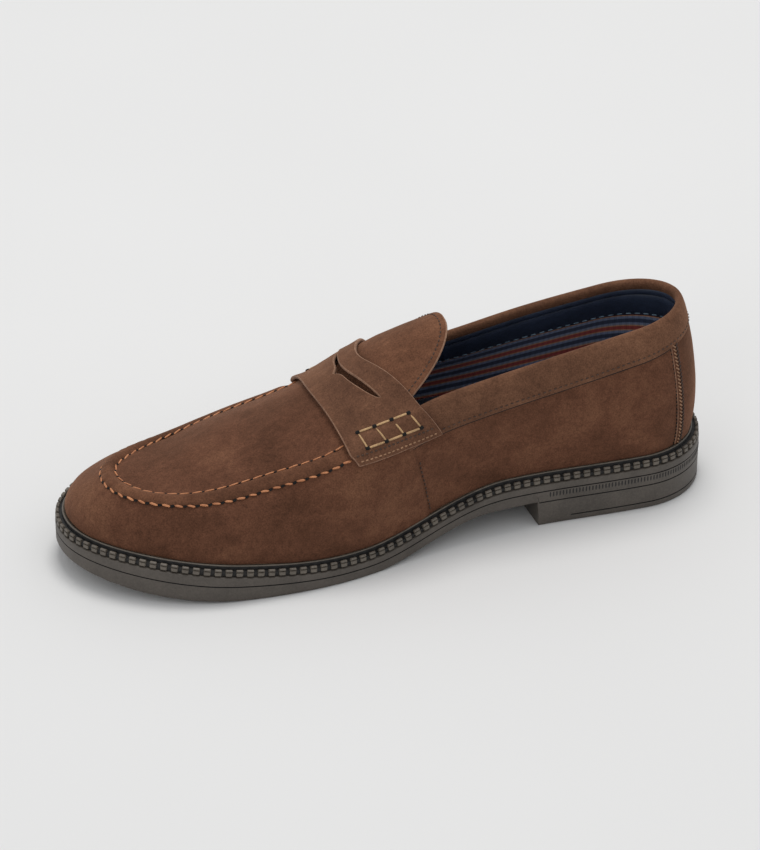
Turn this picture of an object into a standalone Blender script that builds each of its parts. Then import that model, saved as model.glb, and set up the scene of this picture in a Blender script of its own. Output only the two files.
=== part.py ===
"""Penny loafer, right shoe, standing empty on its sole.

X runs from heel (-) to toe (+), Y towards the inner (medial) side, Z up.
Sizes are in millimetres here and become metres when a mesh is made.
"""
import bpy
import bmesh
import numpy as np

for old in list(bpy.data.objects):
    bpy.data.objects.remove(old, do_unlink=True)

MM = 0.001

# ---------------------------------------------------------------- overall sizes
LENGTH = 300.0            # sole, heel to toe
BALL_WIDTH = 125.0        # sole at the ball of the foot
COLLAR_HEIGHT = 87.0      # floor to the back of the collar
INSTEP_CROWN = 19.5       # how far the saddle rises above its two side edges
HEEL_SEAT = 24.4          # top of the welt above the floor: heel, ball and toe
BALL_SEAT = 11.2
TOE_SEAT = 22.0
SEAT_BACK, SEAT_BACK_RUN = 0.087, 0.247     # rise to the heel: start and run, parts of the length
SEAT_FRONT = 0.1          # the rise to the toe starts here and ends at the toe
WAIST_LIFT = 11.8         # underside of the sole above the floor: waist and toe
TOE_SPRING = 8.6
WAIST_FRONT, WAIST_RUN = 0.073, 0.2         # rise to the waist: start and run
SPRING_FROM, SPRING_POWER = 0.24, 1.8       # the toe spring starts here, and how it curves
HEEL_BLOCK = 0.30         # length of the heel block, part of the length
BREAST_RAKE = 2.0         # the front of the heel block leans by this much

# ---------------------------------------------------------------- material sizes
WALL = 2.0                # suede, lining and stiffener together
STRAP_THICK = 1.8
TONGUE_THICK = 2.0
INSOLE_THICK = 3.0
WELT_HEIGHT = 3.5
WELT_REACH = 4.6          # welt showing outside the foot of the upper
WELT_TUCK = 4.0           # welt hidden under the foot of the upper
EDGE_ROUND = 0.8          # small bevel on the edges of the sole
GAP = 0.3                 # clearance between neighbouring pieces
TUCK_GAP = 0.5            # more where a thin piece slides under a curved one
FACET = 0.2               # allowance for the flat facets of curved pieces

# ---------------------------------------------------------------- openings, saddle
THROAT = 22.0             # the apron ends here, under the saddle strap
TONGUE_TIP = -26.5        # rounded free end of the tongue
TONGUE_FRONT = 31.0       # hidden end under the apron
TONGUE_MARGIN = 0.055     # tongue stays this share of the opening inside the edge
DIP_STARTS, DIP_LENGTH = 16.0, 12.0 # it dips under the apron from this far behind the throat
TONGUE_POWER, TONGUE_TAPER = 3.0, 0.30    # roundness of its tip, narrowing towards it
TONGUE_END = 0.075        # half width of the blunt end, share of the opening
STRAP_FRONT = (26.5, 34.0, 27.5)    # front edge: medial end, ridge, lateral end
STRAP_BACK = (-12.5, 11.5, -15.0)   # back edge, the same three places
STRAP_END = ((50.3, 57.0), (45.5, 50.0))  # height of each end: front and back corner
RIDGE_ROUND = 0.22        # how far across the edges of the strap bend at the ridge
OVER_TOP = 0.72           # share of each half of the strap that lies on the top, not the wall
SLOT_FROM, SLOT_TO = -0.36, 0.30    # lens slot, across the strap (-1 medial, 1 lateral)
SLOT_REAR, SLOT_WIDE = 0.70, 0.16   # its rear lip and width, share of the strap width

# ---------------------------------------------------------------- last sections
# half widths of the sole as parts of the ball width, stations as parts of the length
SOLE_AT = (-0.5, -0.333, -0.2, -0.033, 0.117, 0.242, 0.367, 0.5)
SOLE_MEDIAL = (0.300, 0.318, 0.314, 0.370, 0.462, 0.471, 0.436, 0.380)
SOLE_LATERAL = (0.300, 0.334, 0.380, 0.460, 0.530, 0.497, 0.427, 0.356)
SOLE_BEND = (0.0, 0.0, 0.006, 0.021)
BEND_AT = (-0.5, -0.067, 0.2, 0.5)
SOLE_CAPS = (0.220, 2.10, 0.124, 2.10)       # toe and heel: radius and roundness
# the upper edge of the walls: apron seam in front, topline behind
EDGE_ENDS = (0.434, -0.466)
EDGE_AT = (-0.466, -0.35, -0.233, -0.1, 0.017, 0.1, 0.2, 0.3, 0.404)
EDGE_MEDIAL = (0.195, 0.218, 0.252, 0.270, 0.318, 0.354, 0.325, 0.298, 0.294)
EDGE_LATERAL = (0.180, 0.182, 0.205, 0.234, 0.284, 0.308, 0.306, 0.266, 0.246)
EDGE_BEND_AT = (-0.466, -0.067, 0.2, 0.404)
EDGE_BEND = (0.0, 0.0, 0.028, 0.088)
EDGE_CAPS = (0.186, 2.03, 0.100, 2.1)
# heights of that edge as parts of the collar height
EDGE_UP_MEDIAL = (1.0, 0.950, 0.906, 0.838, 0.757, 0.626, 0.534, 0.484, 0.500)
EDGE_UP_LATERAL = (0.993, 0.940, 0.862, 0.754, 0.658, 0.548, 0.482, 0.463, 0.505)
# lean of the walls, degrees: outwards at the foot, inwards at the upper edge
FOOT_LEAN_AT = (-0.5, -0.333, -0.167, 0.0, 0.167, 0.333, 0.5)
FOOT_LEAN = (13.0, 12.0, 4.0, 4.0, 12.0, 10.0, 11.0)
EDGE_LEAN_AT = (-0.467, -0.333, -0.167, 0.0, 0.133, 0.267, 0.404)
EDGE_LEAN = (18.0, 18.0, 19.0, 29.0, 41.0, 48.0, 48.0)
FOOT_PULL, EDGE_PULL = 0.28, 0.34
# rise of the apron and tongue above the two edges, as parts of the instep crown
CROWN_AT = (-0.1, -0.033, 0.007, 0.073, 0.167, 0.267, 0.35, 0.434)
CROWN = (1.31, 1.17, 1.11, 0.92, 0.70, 0.55, 0.22, 0.0)

# ---------------------------------------------------------------- mesh density
TOE_STEPS, BACK_STEPS = 22, 24      # along each half of the edge: before, behind the throat
WALL_STEPS, APRON_STEPS = 9, 14
SOLE_STEPS = (34, 1, 16)            # each half of the sole: before, along and behind the breast
TONGUE_STEPS, TONGUE_ACROSS = (5, 7, 9), 15
STRAP_STEPS = (7, 19, 7)            # across the strap: inner wall, over the top, outer wall
SLOT_STEPS = (4, 3)                 # along it: before and behind the slot
# ---------------------------------------------------------------- plain colours
LEAF, RUBBER, COVER = (0.13, 0.065, 0.038), (0.085, 0.075, 0.066), (0.012, 0.018, 0.03)
ROUGH_SUEDE, ROUGH_RUBBER = 0.92, 0.6
CRISP_SHEET, CRISP_SOLE = 40.0, 30.0  # edges above these angles stay crisp, degrees
SIDE_TOE, SIDE_HEEL = 0.17, 0.40    # where the toe cap ends and the heel cap begins
CAP_SHRINK = 0.6                    # how fast the caps get shorter with the inset
SIDE_BLEND = 6.0                    # how sharply the edge heights change side at toe and heel


def through(at, values, x):
    """Natural cubic curve through stations, held level beyond its ends."""
    at, values = np.asarray(at, float), np.asarray(values, float)
    n, h = len(at), np.diff(at)
    slope = np.diff(values) / h
    a, b = np.eye(n), np.zeros(n)
    for i in range(1, n - 1):
        a[i, i - 1:i + 2] = h[i - 1], 2 * (h[i - 1] + h[i]), h[i]
        b[i] = 6 * (slope[i] - slope[i - 1])
    m = np.linalg.solve(a, b)
    x = np.clip(np.asarray(x, float), at[0], at[-1])
    k = np.clip(np.searchsorted(at, x, side="right") - 1, 0, n - 2)
    t, w = x - at[k], h[k]
    return (values[k] + t * (slope[k] - w * (2 * m[k] + m[k + 1]) / 6)
            + t * t * m[k] / 2 + t ** 3 * (m[k + 1] - m[k]) / (6 * w))


def ease(t):
    t = np.clip(t, 0, 1)
    return t * t * (3 - 2 * t)


class Outline:
    """Closed plan curve: round toe cap, two shaped sides, round heel cap."""

    def __init__(self, ends, caps, at, medial, lateral, bend_at, bend, inset=0.0):
        self.toe = ends[0] * LENGTH - inset
        self.heel = ends[1] * LENGTH + inset
        self.toe_r = caps[0] * LENGTH - CAP_SHRINK * inset
        self.heel_r = caps[2] * LENGTH - CAP_SHRINK * inset
        self.toe_n, self.heel_n = caps[1], caps[3]
        self.at, self.bend_at = np.multiply(at, LENGTH), np.multiply(bend_at, LENGTH)
        self.medial = np.multiply(medial, BALL_WIDTH) - inset
        self.lateral = np.multiply(lateral, BALL_WIDTH) - inset
        self.bend = np.multiply(bend, BALL_WIDTH)

    def side_x(self, share):
        return (self.toe - self.toe_r) * (1 - share) + (self.heel + self.heel_r) * share

    def where(self, x):
        """Place along the half outline (0 toe, 0.5 heel) of a station on the side."""
        front, back = self.side_x(0.0), self.side_x(1.0)
        return SIDE_TOE + (SIDE_HEEL - SIDE_TOE) * (front - x) / (front - back)

    def plan(self, u):
        """Point at u: 0 toe, up to 0.5 along the medial side to the heel, back to 1."""
        u = np.asarray(u, float) % 1.0
        medial, half = u <= 0.5, np.where(u <= 0.5, u, 1 - u)
        a = np.clip(half / SIDE_TOE, 0, 1) * np.pi / 2
        c = np.clip((half - SIDE_HEEL) / (0.5 - SIDE_HEEL), 0, 1) * np.pi / 2
        share = np.clip((half - SIDE_TOE) / (SIDE_HEEL - SIDE_TOE), 0, 1)
        in_toe, in_heel = half < SIDE_TOE, half >= SIDE_HEEL
        x = np.where(in_toe, self.toe - self.toe_r * (1 - np.cos(a) ** (2 / self.toe_n)),
                     np.where(in_heel, self.side_x(1.0) - self.heel_r
                              * np.sin(c) ** (2 / self.heel_n), self.side_x(share)))
        k = np.where(in_toe, np.sin(a) ** (2 / self.toe_n),
                     np.where(in_heel, np.abs(np.cos(c)) ** (2 / self.heel_n), 1.0))
        k = np.where(np.abs(half - 0.5) < 1e-9, 0.0, k)
        wide = np.where(medial, through(self.at, self.medial, x),
                        -through(self.at, self.lateral, x))
        return x, through(self.bend_at, self.bend, x) + k * wide

    def outward(self, u, step=1e-4):
        x1, y1 = self.plan(u + step)
        x0, y0 = self.plan(u - step)
        size = np.hypot(x1 - x0, y1 - y0)
        return (y1 - y0) / size, -(x1 - x0) / size


def sole_outline(inset):
    return Outline((0.5, -0.5), SOLE_CAPS, SOLE_AT, SOLE_MEDIAL, SOLE_LATERAL,
                   BEND_AT, SOLE_BEND, inset)


foot_line = sole_outline(WELT_REACH)
edge_line = Outline(EDGE_ENDS, EDGE_CAPS, EDGE_AT, EDGE_MEDIAL, EDGE_LATERAL,
                    EDGE_BEND_AT, EDGE_BEND)
full = sole_outline(0.0).plan(np.linspace(0, 1, 721))[1]
CENTRE_Y = (full.max() + full.min()) / 2     # puts the origin mid-way across the sole


def seat(x):
    """Top of the welt: high at the heel, low at the ball, rising to the toe."""
    back = ease((SEAT_BACK - x / LENGTH) / SEAT_BACK_RUN)
    front = ease((x / LENGTH - SEAT_FRONT) / (0.5 - SEAT_FRONT))
    return BALL_SEAT + (HEEL_SEAT - BALL_SEAT) * back + (TOE_SEAT - BALL_SEAT) * front


def underside(x):
    """Tread: flat heel block, arched waist, flat ball, toe spring."""
    x = np.asarray(x, float)
    waist = WAIST_LIFT * ease((WAIST_FRONT - x / LENGTH) / WAIST_RUN)
    spring = TOE_SPRING * np.clip((x / LENGTH - SPRING_FROM) / (0.5 - SPRING_FROM), 0, 1) ** SPRING_POWER
    breast = (HEEL_BLOCK - 0.5) * LENGTH - BREAST_RAKE / 2
    return np.where(x < breast, 0.0, waist + spring)


def edge_heights(u, x):
    medial = COLLAR_HEIGHT * through(np.multiply(EDGE_AT, LENGTH), EDGE_UP_MEDIAL, x)
    lateral = COLLAR_HEIGHT * through(np.multiply(EDGE_AT, LENGTH), EDGE_UP_LATERAL, x)
    share = 0.5 + 0.5 * np.tanh(SIDE_BLEND * np.sin(2 * np.pi * np.asarray(u, float)))
    return medial * share + lateral * (1 - share)


def wall_point(u, v):
    """Side of the upper: v = 0 at the welt, 1 at the apron seam or topline."""
    u, v = np.broadcast_arrays(np.asarray(u, float), np.asarray(v, float))
    fx, fy = foot_line.plan(u)
    ex, ey = edge_line.plan(u)
    foot = np.stack([fx, fy, seat(fx) + GAP + FACET], -1)
    edge = np.stack([ex, ey, edge_heights(u, ex)], -1)
    reach = np.linalg.norm(edge - foot, axis=-1)
    lean0 = np.radians(through(np.multiply(FOOT_LEAN_AT, LENGTH), FOOT_LEAN, fx))
    lean1 = np.radians(through(np.multiply(EDGE_LEAN_AT, LENGTH), EDGE_LEAN, ex))
    ox, oy = foot_line.outward(u)
    px, py = edge_line.outward(u)
    rise0 = np.stack([ox * np.sin(lean0), oy * np.sin(lean0), np.cos(lean0)], -1)
    rise1 = np.stack([-px * np.sin(lean1), -py * np.sin(lean1), np.cos(lean1)], -1)
    pull0 = foot + rise0 * (reach * FOOT_PULL)[..., None]
    pull1 = edge - rise1 * (reach * EDGE_PULL)[..., None]
    v = v[..., None]
    return ((1 - v) ** 3 * foot + 3 * (1 - v) ** 2 * v * pull0
            + 3 * (1 - v) * v * v * pull1 + v ** 3 * edge)


def top_point(u, w):
    """Arched surface from the medial edge at u (w = 0) to the lateral edge (w = 1)."""
    u, w = np.broadcast_arrays(np.asarray(u, float), np.asarray(w, float))
    medial, lateral = wall_point(u, np.ones_like(u)), wall_point(1 - u, np.ones_like(u))
    point = medial * (1 - w)[..., None] + lateral * w[..., None]
    crown = INSTEP_CROWN * through(np.multiply(CROWN_AT, LENGTH), CROWN, medial[..., 0])
    point[..., 2] += crown * (1 - (2 * w - 1) ** 2)
    return point


def end_height_to_v(u, height):
    """Where up the wall at u the given height is reached."""
    v = np.linspace(0, 1, 41)
    z = wall_point(np.full(41, u), v)[:, 2]
    return float(np.interp(height, z, v))


def saddle_point(x, t):
    """Section over the whole shoe at edge station x: t = -1 medial wall, 0 ridge, 1 lateral."""
    u = float(edge_line.where(x))
    along = (STRAP_FRONT[1] - x) / (STRAP_FRONT[1] - STRAP_BACK[0])
    if abs(t) <= 0.5:
        return top_point(u, t + 0.5)
    ends = STRAP_END[0] if t < 0 else STRAP_END[1]
    side = u if t < 0 else 1 - u
    low = end_height_to_v(side, ends[0] + (ends[1] - ends[0]) * along)
    return wall_point(side, 1 - (1 - low) * (abs(t) - 0.5) / 0.5)


# ---------------------------------------------------------------- mesh helpers
def make_object(name, points, faces, colour, rough, sharp=CRISP_SHEET):
    """Weld, turn the normals out, centre across the sole and convert to metres."""
    mesh = bpy.data.meshes.new(name)
    placed = (np.asarray(points, float) - (0, CENTRE_Y, 0)) * MM
    mesh.from_pydata([tuple(p) for p in placed], [], faces)
    work = bmesh.new()
    work.from_mesh(mesh)
    bmesh.ops.remove_doubles(work, verts=work.verts, dist=1e-6)
    bmesh.ops.recalc_face_normals(work, faces=work.faces)
    for edge in work.edges:
        if len(edge.link_faces) == 2:
            edge.smooth = bool(edge.calc_face_angle(0.0) < np.radians(sharp))
    for face in work.faces:
        face.smooth = True
    work.to_mesh(mesh)
    work.free()
    piece = bpy.data.objects.new(name, mesh)
    bpy.context.scene.collection.objects.link(piece)
    material = bpy.data.materials.new(name + "_material")
    material.use_nodes = True
    shader = material.node_tree.nodes["Principled BSDF"]
    shader.inputs["Base Color"].default_value = (*colour, 1.0)
    shader.inputs["Roughness"].default_value = rough
    mesh.materials.append(material)
    return piece


def surface_normals(grid):
    """Unit normals of a grid of points, rows by columns."""
    across, along = np.gradient(grid, axis=1), np.gradient(grid, axis=0)
    normal = np.cross(along, across)
    return normal / np.linalg.norm(normal, axis=-1, keepdims=True)


def grid_faces(rows, columns, start=0, closed=False):
    last = columns if closed else columns - 1
    return [(start + r * columns + c, start + r * columns + (c + 1) % columns,
             start + (r + 1) * columns + (c + 1) % columns, start + (r + 1) * columns + c)
            for r in range(rows - 1) for c in range(last)]


def thick_sheet(name, panels, thick, colour):
    """Closed plate from panels of (outer grid, outward normals); equal points are welded."""
    points, faces, edges = [], [], {}
    for outer, normal in panels:
        rows, columns = outer.shape[:2]
        start = len(points)
        count = rows * columns
        points += list(outer.reshape(-1, 3)) + list((outer - normal * thick).reshape(-1, 3))
        top = grid_faces(rows, columns, start)
        faces += top + [tuple(i + count for i in reversed(f)) for f in top]
        for f in top:
            for a, b in zip(f, f[1:] + f[:1]):
                key = tuple(sorted((tuple(np.round(points[a], 4)), tuple(np.round(points[b], 4)))))
                edges.setdefault(key, []).append((a, b, count))
    for uses in edges.values():
        if len(uses) == 1:
            a, b, count = uses[0]
            faces.append((b, a, a + count, b + count))
    return make_object(name, points, faces, colour, ROUGH_SUEDE)


def ladder(columns, start, flip=False):
    """Cap across a symmetric loop, toe vertex first and heel vertex half way round."""
    half = columns // 2
    faces = [(start, start + 1, start + columns - 1)]
    faces += [(start + i, start + i + 1, start + columns - i - 1, start + columns - i)
              for i in range(1, half - 1)]
    faces.append((start + half - 1, start + half, start + half + 1))
    return [tuple(reversed(f)) for f in faces] if flip else faces


def half_loop(stops, counts):
    """Places from toe (0) to heel (0.5) passing exactly through the stops, then back."""
    places = [0.0]
    for low, high, count in zip([0.0] + stops[:-1], stops, counts):
        places += list(np.linspace(low, high, count + 1)[1:])
    return np.array(places + [1 - p for p in reversed(places[1:-1])])


def loops_solid(name, loops, colour, rough, caps, sharp):
    """Solid from stacked closed loops; caps close the first and last across."""
    columns = len(loops[0])
    points = np.concatenate(loops)
    faces = grid_faces(len(loops), columns, closed=True)
    if caps:
        faces += ladder(columns, 0) + ladder(columns, (len(loops) - 1) * columns, True)
    else:
        last = (len(loops) - 1) * columns
        faces += [(last + c, last + (c + 1) % columns, (c + 1) % columns, c)
                  for c in range(columns)]
    return make_object(name, points, faces, colour, rough, sharp)


# ---------------------------------------------------------------- upper
# One shell: walls all round, closed over the toes by the apron, open from the
# throat to the heel and open underneath.
throat_u = float(edge_line.where(THROAT))
around = half_loop([throat_u, 0.5], [TOE_STEPS, BACK_STEPS])
columns = len(around)
up = np.linspace(0, 1, WALL_STEPS + 1)
wall = wall_point(around[None, :], up[:, None])
points = [tuple(p) for p in wall.reshape(-1, 3)]
faces = grid_faces(WALL_STEPS + 1, columns, closed=True)
edge_start = WALL_STEPS * columns
rows = [[edge_start]]
for i in range(1, TOE_STEPS + 1):
    inner = top_point(around[i], np.linspace(0, 1, APRON_STEPS + 1)[1:-1])
    row = [edge_start + i] + list(range(len(points), len(points) + len(inner)))
    points += [tuple(p) for p in inner]
    rows.append(row + [edge_start + columns - i])
for before, after in zip(rows, rows[1:]):
    if len(before) == 1:
        faces += [(before[0], a, b) for a, b in zip(after, after[1:])]
    else:
        faces += [(a, c, d, b) for a, b, c, d in zip(before, before[1:], after, after[1:])]
upper = make_object("upper", points, faces, LEAF, ROUGH_SUEDE)
outside = bmesh.new()
outside.from_mesh(upper.data)
outside.faces.ensure_lookup_table()
lowest = min(outside.faces, key=lambda f: f.calc_center_median().z)
middle = sum((f.calc_center_median() for f in outside.faces), lowest.normal * 0) / len(outside.faces)
if lowest.normal.dot(lowest.calc_center_median() - middle) < 0:
    bmesh.ops.reverse_faces(outside, faces=outside.faces)
outside.to_mesh(upper.data)
outside.free()
shell = upper.modifiers.new("wall", "SOLIDIFY")
shell.thickness = WALL * MM
shell.offset = -1.0
shell.use_even_offset = True
shell.use_rim = True

# ---------------------------------------------------------------- tongue
# Slips under the apron, lifts level with it under the strap and ends in a round tip.
hidden, shown, tip_steps = TONGUE_STEPS
clear_of_throat = THROAT - 3.0
stations = np.concatenate([np.linspace(TONGUE_FRONT, clear_of_throat, hidden),
                           np.linspace(clear_of_throat, 0, shown)[1:],
                           TONGUE_TIP * np.sin(np.linspace(0, np.pi / 2, tip_steps)[1:-1])])
across = np.linspace(-1, 1, TONGUE_ACROSS)
tongue_rows, tongue_drop = [], []
for x in stations:
    tip = np.clip(x / TONGUE_TIP, 0, 1)
    arch = (1 - tip ** TONGUE_POWER) ** (1 / TONGUE_POWER)
    half = (0.5 - TONGUE_MARGIN) * (1 - TONGUE_TAPER * tip) * arch
    tongue_rows.append(top_point(edge_line.where(x), 0.5 + across * half))
    tongue_drop.append((WALL + TUCK_GAP) * ease((x - THROAT + DIP_STARTS) / DIP_LENGTH))
tip_row = top_point(edge_line.where(TONGUE_TIP), 0.5 + across * TONGUE_END)
tongue_rows.append(tip_row)
tongue_drop.append(0.0)
tongue_grid = np.array(tongue_rows)
tongue_up = surface_normals(tongue_grid)
tongue_up *= np.sign(tongue_up[..., 2:3])
tongue_grid = tongue_grid - tongue_up * np.array(tongue_drop)[:, None, None]
thick_sheet("tongue", [(tongue_grid, tongue_up)], TONGUE_THICK, LEAF)

# ---------------------------------------------------------------- saddle strap
cross = np.concatenate([np.linspace(-1, -0.5, STRAP_STEPS[0]), np.linspace(-0.5, 0.5, STRAP_STEPS[1])[1:],
                        np.linspace(0.5, 1, STRAP_STEPS[2])[1:]])


def strap_edge(three, t):
    end = three[0] if t < 0 else three[2]
    far = np.interp(abs(t), (0, 0.5, 1), (0, OVER_TOP, 1))
    bow = (np.hypot(far, RIDGE_ROUND) - RIDGE_ROUND) / (np.hypot(1, RIDGE_ROUND) - RIDGE_ROUND)
    return three[1] + (end - three[1]) * bow


def strap_grid(shares):
    """Middle surface of the upper under the strap, one row per share of its width."""
    grid = [[saddle_point(strap_edge(STRAP_FRONT, t) * (1 - s[i])
                          + strap_edge(STRAP_BACK, t) * s[i], t)
             for i, t in enumerate(cross)] for s in shares]
    return np.array(grid)


lens = np.clip((cross - SLOT_FROM) * (SLOT_TO - cross), 0, None)
lens = np.sqrt(lens / lens.max())
rear_lip = np.full(len(cross), SLOT_REAR)
front_lip = rear_lip - SLOT_WIDE * lens
panels = []
for low, high, count in ((np.zeros(len(cross)), front_lip, SLOT_STEPS[0]),
                         (rear_lip, np.ones(len(cross)), SLOT_STEPS[1])):
    panels.append(strap_grid([low + (high - low) * k / count for k in range(count + 1)]))
out = []
for grid in panels:
    normal = surface_normals(grid)
    from_axis = grid * (0, 1, 1) - (0, 0, grid[..., 2].mean() / 2)
    normal *= np.sign((normal * from_axis).sum(-1, keepdims=True))
    out.append(normal)
shared = lens == 0
mean = out[0][-1] + out[1][0]
mean /= np.linalg.norm(mean, axis=-1, keepdims=True)
out[0][-1][shared], out[1][0][shared] = mean[shared], mean[shared]
lift = GAP + FACET / 2 + STRAP_THICK
thick_sheet("strap", [(grid + normal * lift, normal) for grid, normal in zip(panels, out)],
            STRAP_THICK, LEAF)

# ---------------------------------------------------------------- sole, welt, insole
breast_x = (HEEL_BLOCK - 0.5) * LENGTH
sole_line = sole_outline(0.0)
sole_u = half_loop([float(sole_line.where(breast_x)),
                    float(sole_line.where(breast_x - BREAST_RAKE)), 0.5], SOLE_STEPS)


def ring(inset, height):
    line = sole_outline(inset)
    x, y = line.plan(sole_u)
    return np.stack([x, y, height(x)], -1)


ledge = WELT_HEIGHT + GAP
inner = WELT_REACH + WELT_TUCK
loops_solid("outsole", [
    ring(inner + GAP, seat),
    ring(inner + GAP, lambda x: seat(x) - ledge),
    ring(EDGE_ROUND, lambda x: seat(x) - ledge),
    ring(0.0, lambda x: seat(x) - ledge - EDGE_ROUND),
    ring(0.0, lambda x: underside(x) + EDGE_ROUND),
    ring(EDGE_ROUND, underside)], RUBBER, ROUGH_RUBBER, True, CRISP_SOLE)
loops_solid("welt", [
    ring(inner, lambda x: seat(x) - WELT_HEIGHT),
    ring(EDGE_ROUND, lambda x: seat(x) - WELT_HEIGHT),
    ring(EDGE_ROUND / 2, lambda x: seat(x) - WELT_HEIGHT / 2),
    ring(EDGE_ROUND, seat),
    ring(inner, seat)], RUBBER, ROUGH_RUBBER, False, CRISP_SOLE)
insole_inset = WELT_REACH + WALL + 2 * GAP + FACET
loops_solid("insole", [
    ring(insole_inset, lambda x: seat(x) + GAP + INSOLE_THICK),
    ring(insole_inset, lambda x: seat(x) + GAP)],
    COVER, ROUGH_SUEDE, True, CRISP_SOLE)
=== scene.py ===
# %% [markdown]
# # A suede penny loafer
# We dress one right-foot loafer that already exists as a plain solid model. The solid gives the frame:
# where the sole, the welt, the upper, the tongue and the saddle strap are. Around it we build what the
# eye sees: suede panels with real edges, a raised apron seam, stitches, a toothed welt and a striped lining.
# X runs from heel to toe, Y to the inner side of the foot, Z up. We think in millimetres and convert once.

import bmesh
import bpy
import numpy as np
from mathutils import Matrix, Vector, noise


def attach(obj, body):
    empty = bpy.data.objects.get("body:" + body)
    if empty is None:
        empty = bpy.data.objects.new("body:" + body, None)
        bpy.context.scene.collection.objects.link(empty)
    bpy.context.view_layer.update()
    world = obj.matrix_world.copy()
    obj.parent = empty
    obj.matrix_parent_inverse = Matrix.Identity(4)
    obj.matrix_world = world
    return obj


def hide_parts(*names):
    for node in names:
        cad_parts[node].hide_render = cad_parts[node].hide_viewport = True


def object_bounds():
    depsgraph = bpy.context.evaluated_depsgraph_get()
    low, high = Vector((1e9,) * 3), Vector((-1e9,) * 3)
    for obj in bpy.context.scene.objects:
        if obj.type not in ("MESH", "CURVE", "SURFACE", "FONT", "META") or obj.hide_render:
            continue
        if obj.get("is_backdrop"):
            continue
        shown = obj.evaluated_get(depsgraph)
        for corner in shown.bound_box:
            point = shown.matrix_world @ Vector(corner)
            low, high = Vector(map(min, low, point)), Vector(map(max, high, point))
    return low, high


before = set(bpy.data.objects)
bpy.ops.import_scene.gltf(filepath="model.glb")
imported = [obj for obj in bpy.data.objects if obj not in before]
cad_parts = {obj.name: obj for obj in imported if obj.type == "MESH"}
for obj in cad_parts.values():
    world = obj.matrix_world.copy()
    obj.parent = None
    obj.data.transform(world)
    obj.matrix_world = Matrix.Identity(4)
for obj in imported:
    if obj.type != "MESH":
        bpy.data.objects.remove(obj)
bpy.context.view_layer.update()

MM = 0.001

# %% [markdown]
# ## The shape of the last
# A shoe is made round a last, a wooden foot. Its shape can be told with a few curves: the outline of the
# sole, the line where the side walls end (the apron seam in front, the topline behind), how high that line
# runs, and how far the walls lean. We write these as short tables and join the numbers with smooth curves.

# %% Tables of the last
LENGTH, BALL_WIDTH, COLLAR_HEIGHT, INSTEP_CROWN = 300.0, 125.0, 87.0, 19.5
HEEL_SEAT, BALL_SEAT, TOE_SEAT = 24.4, 11.2, 22.0
SEAT_BACK, SEAT_BACK_RUN, SEAT_FRONT = 0.087, 0.247, 0.1
WAIST_LIFT, TOE_SPRING, HEEL_BLOCK = 11.8, 8.6, 0.30
WAIST_FRONT, WAIST_RUN, SPRING_FROM, SPRING_POWER = 0.073, 0.2, 0.24, 1.8
WELT_HEIGHT, WELT_REACH, WELT_TUCK, GAP, FACET = 3.5, 4.6, 4.0, 0.3, 0.2
SOLE_AT = (-0.5, -0.333, -0.2, -0.033, 0.117, 0.242, 0.367, 0.5)
SOLE_MEDIAL = (0.300, 0.318, 0.314, 0.370, 0.462, 0.471, 0.436, 0.380)
SOLE_LATERAL = (0.300, 0.334, 0.380, 0.460, 0.530, 0.497, 0.427, 0.356)
BEND_AT, SOLE_BEND = (-0.5, -0.067, 0.2, 0.5), (0.0, 0.0, 0.006, 0.021)
SOLE_CAPS = (0.220, 2.10, 0.124, 2.10)
EDGE_ENDS, EDGE_CAPS = (0.434, -0.466), (0.186, 2.03, 0.100, 2.1)
EDGE_AT = (-0.466, -0.35, -0.233, -0.1, 0.017, 0.1, 0.2, 0.3, 0.404)
EDGE_MEDIAL = (0.195, 0.218, 0.252, 0.270, 0.318, 0.354, 0.325, 0.298, 0.294)
EDGE_LATERAL = (0.180, 0.182, 0.205, 0.234, 0.284, 0.308, 0.306, 0.266, 0.246)
EDGE_BEND_AT, EDGE_BEND = (-0.466, -0.067, 0.2, 0.404), (0.0, 0.0, 0.028, 0.088)
EDGE_UP_MEDIAL = (1.0, 0.950, 0.906, 0.838, 0.757, 0.626, 0.534, 0.484, 0.500)
EDGE_UP_LATERAL = (0.993, 0.940, 0.862, 0.754, 0.658, 0.548, 0.482, 0.463, 0.505)
FOOT_LEAN_AT = (-0.5, -0.333, -0.167, 0.0, 0.167, 0.333, 0.5)
FOOT_LEAN = (13.0, 12.0, 4.0, 4.0, 12.0, 10.0, 11.0)
EDGE_LEAN_AT = (-0.467, -0.333, -0.167, 0.0, 0.133, 0.267, 0.404)
EDGE_LEAN = (18.0, 18.0, 19.0, 29.0, 41.0, 48.0, 48.0)
FOOT_PULL, EDGE_PULL = 0.28, 0.34
CROWN_AT = (-0.1, -0.033, 0.007, 0.073, 0.167, 0.267, 0.35, 0.434)
CROWN = (1.31, 1.17, 1.11, 0.92, 0.70, 0.55, 0.22, 0.0)
SIDE_TOE, SIDE_HEEL, CAP_SHRINK = 0.17, 0.40, 0.6


# %% Smooth curves and closed outlines
def through(at, values, x):
    """Natural cubic curve through stations, held level beyond its ends."""
    at, values = np.asarray(at, float), np.asarray(values, float)
    n, h = len(at), np.diff(at)
    slope = np.diff(values) / h
    a, b = np.eye(n), np.zeros(n)
    for i in range(1, n - 1):
        a[i, i - 1:i + 2] = h[i - 1], 2 * (h[i - 1] + h[i]), h[i]
        b[i] = 6 * (slope[i] - slope[i - 1])
    m = np.linalg.solve(a, b)
    x = np.clip(np.asarray(x, float), at[0], at[-1])
    k = np.clip(np.searchsorted(at, x, side="right") - 1, 0, n - 2)
    t, w = x - at[k], h[k]
    return (values[k] + t * (slope[k] - w * (2 * m[k] + m[k + 1]) / 6)
            + t * t * m[k] / 2 + t ** 3 * (m[k + 1] - m[k]) / (6 * w))


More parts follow.
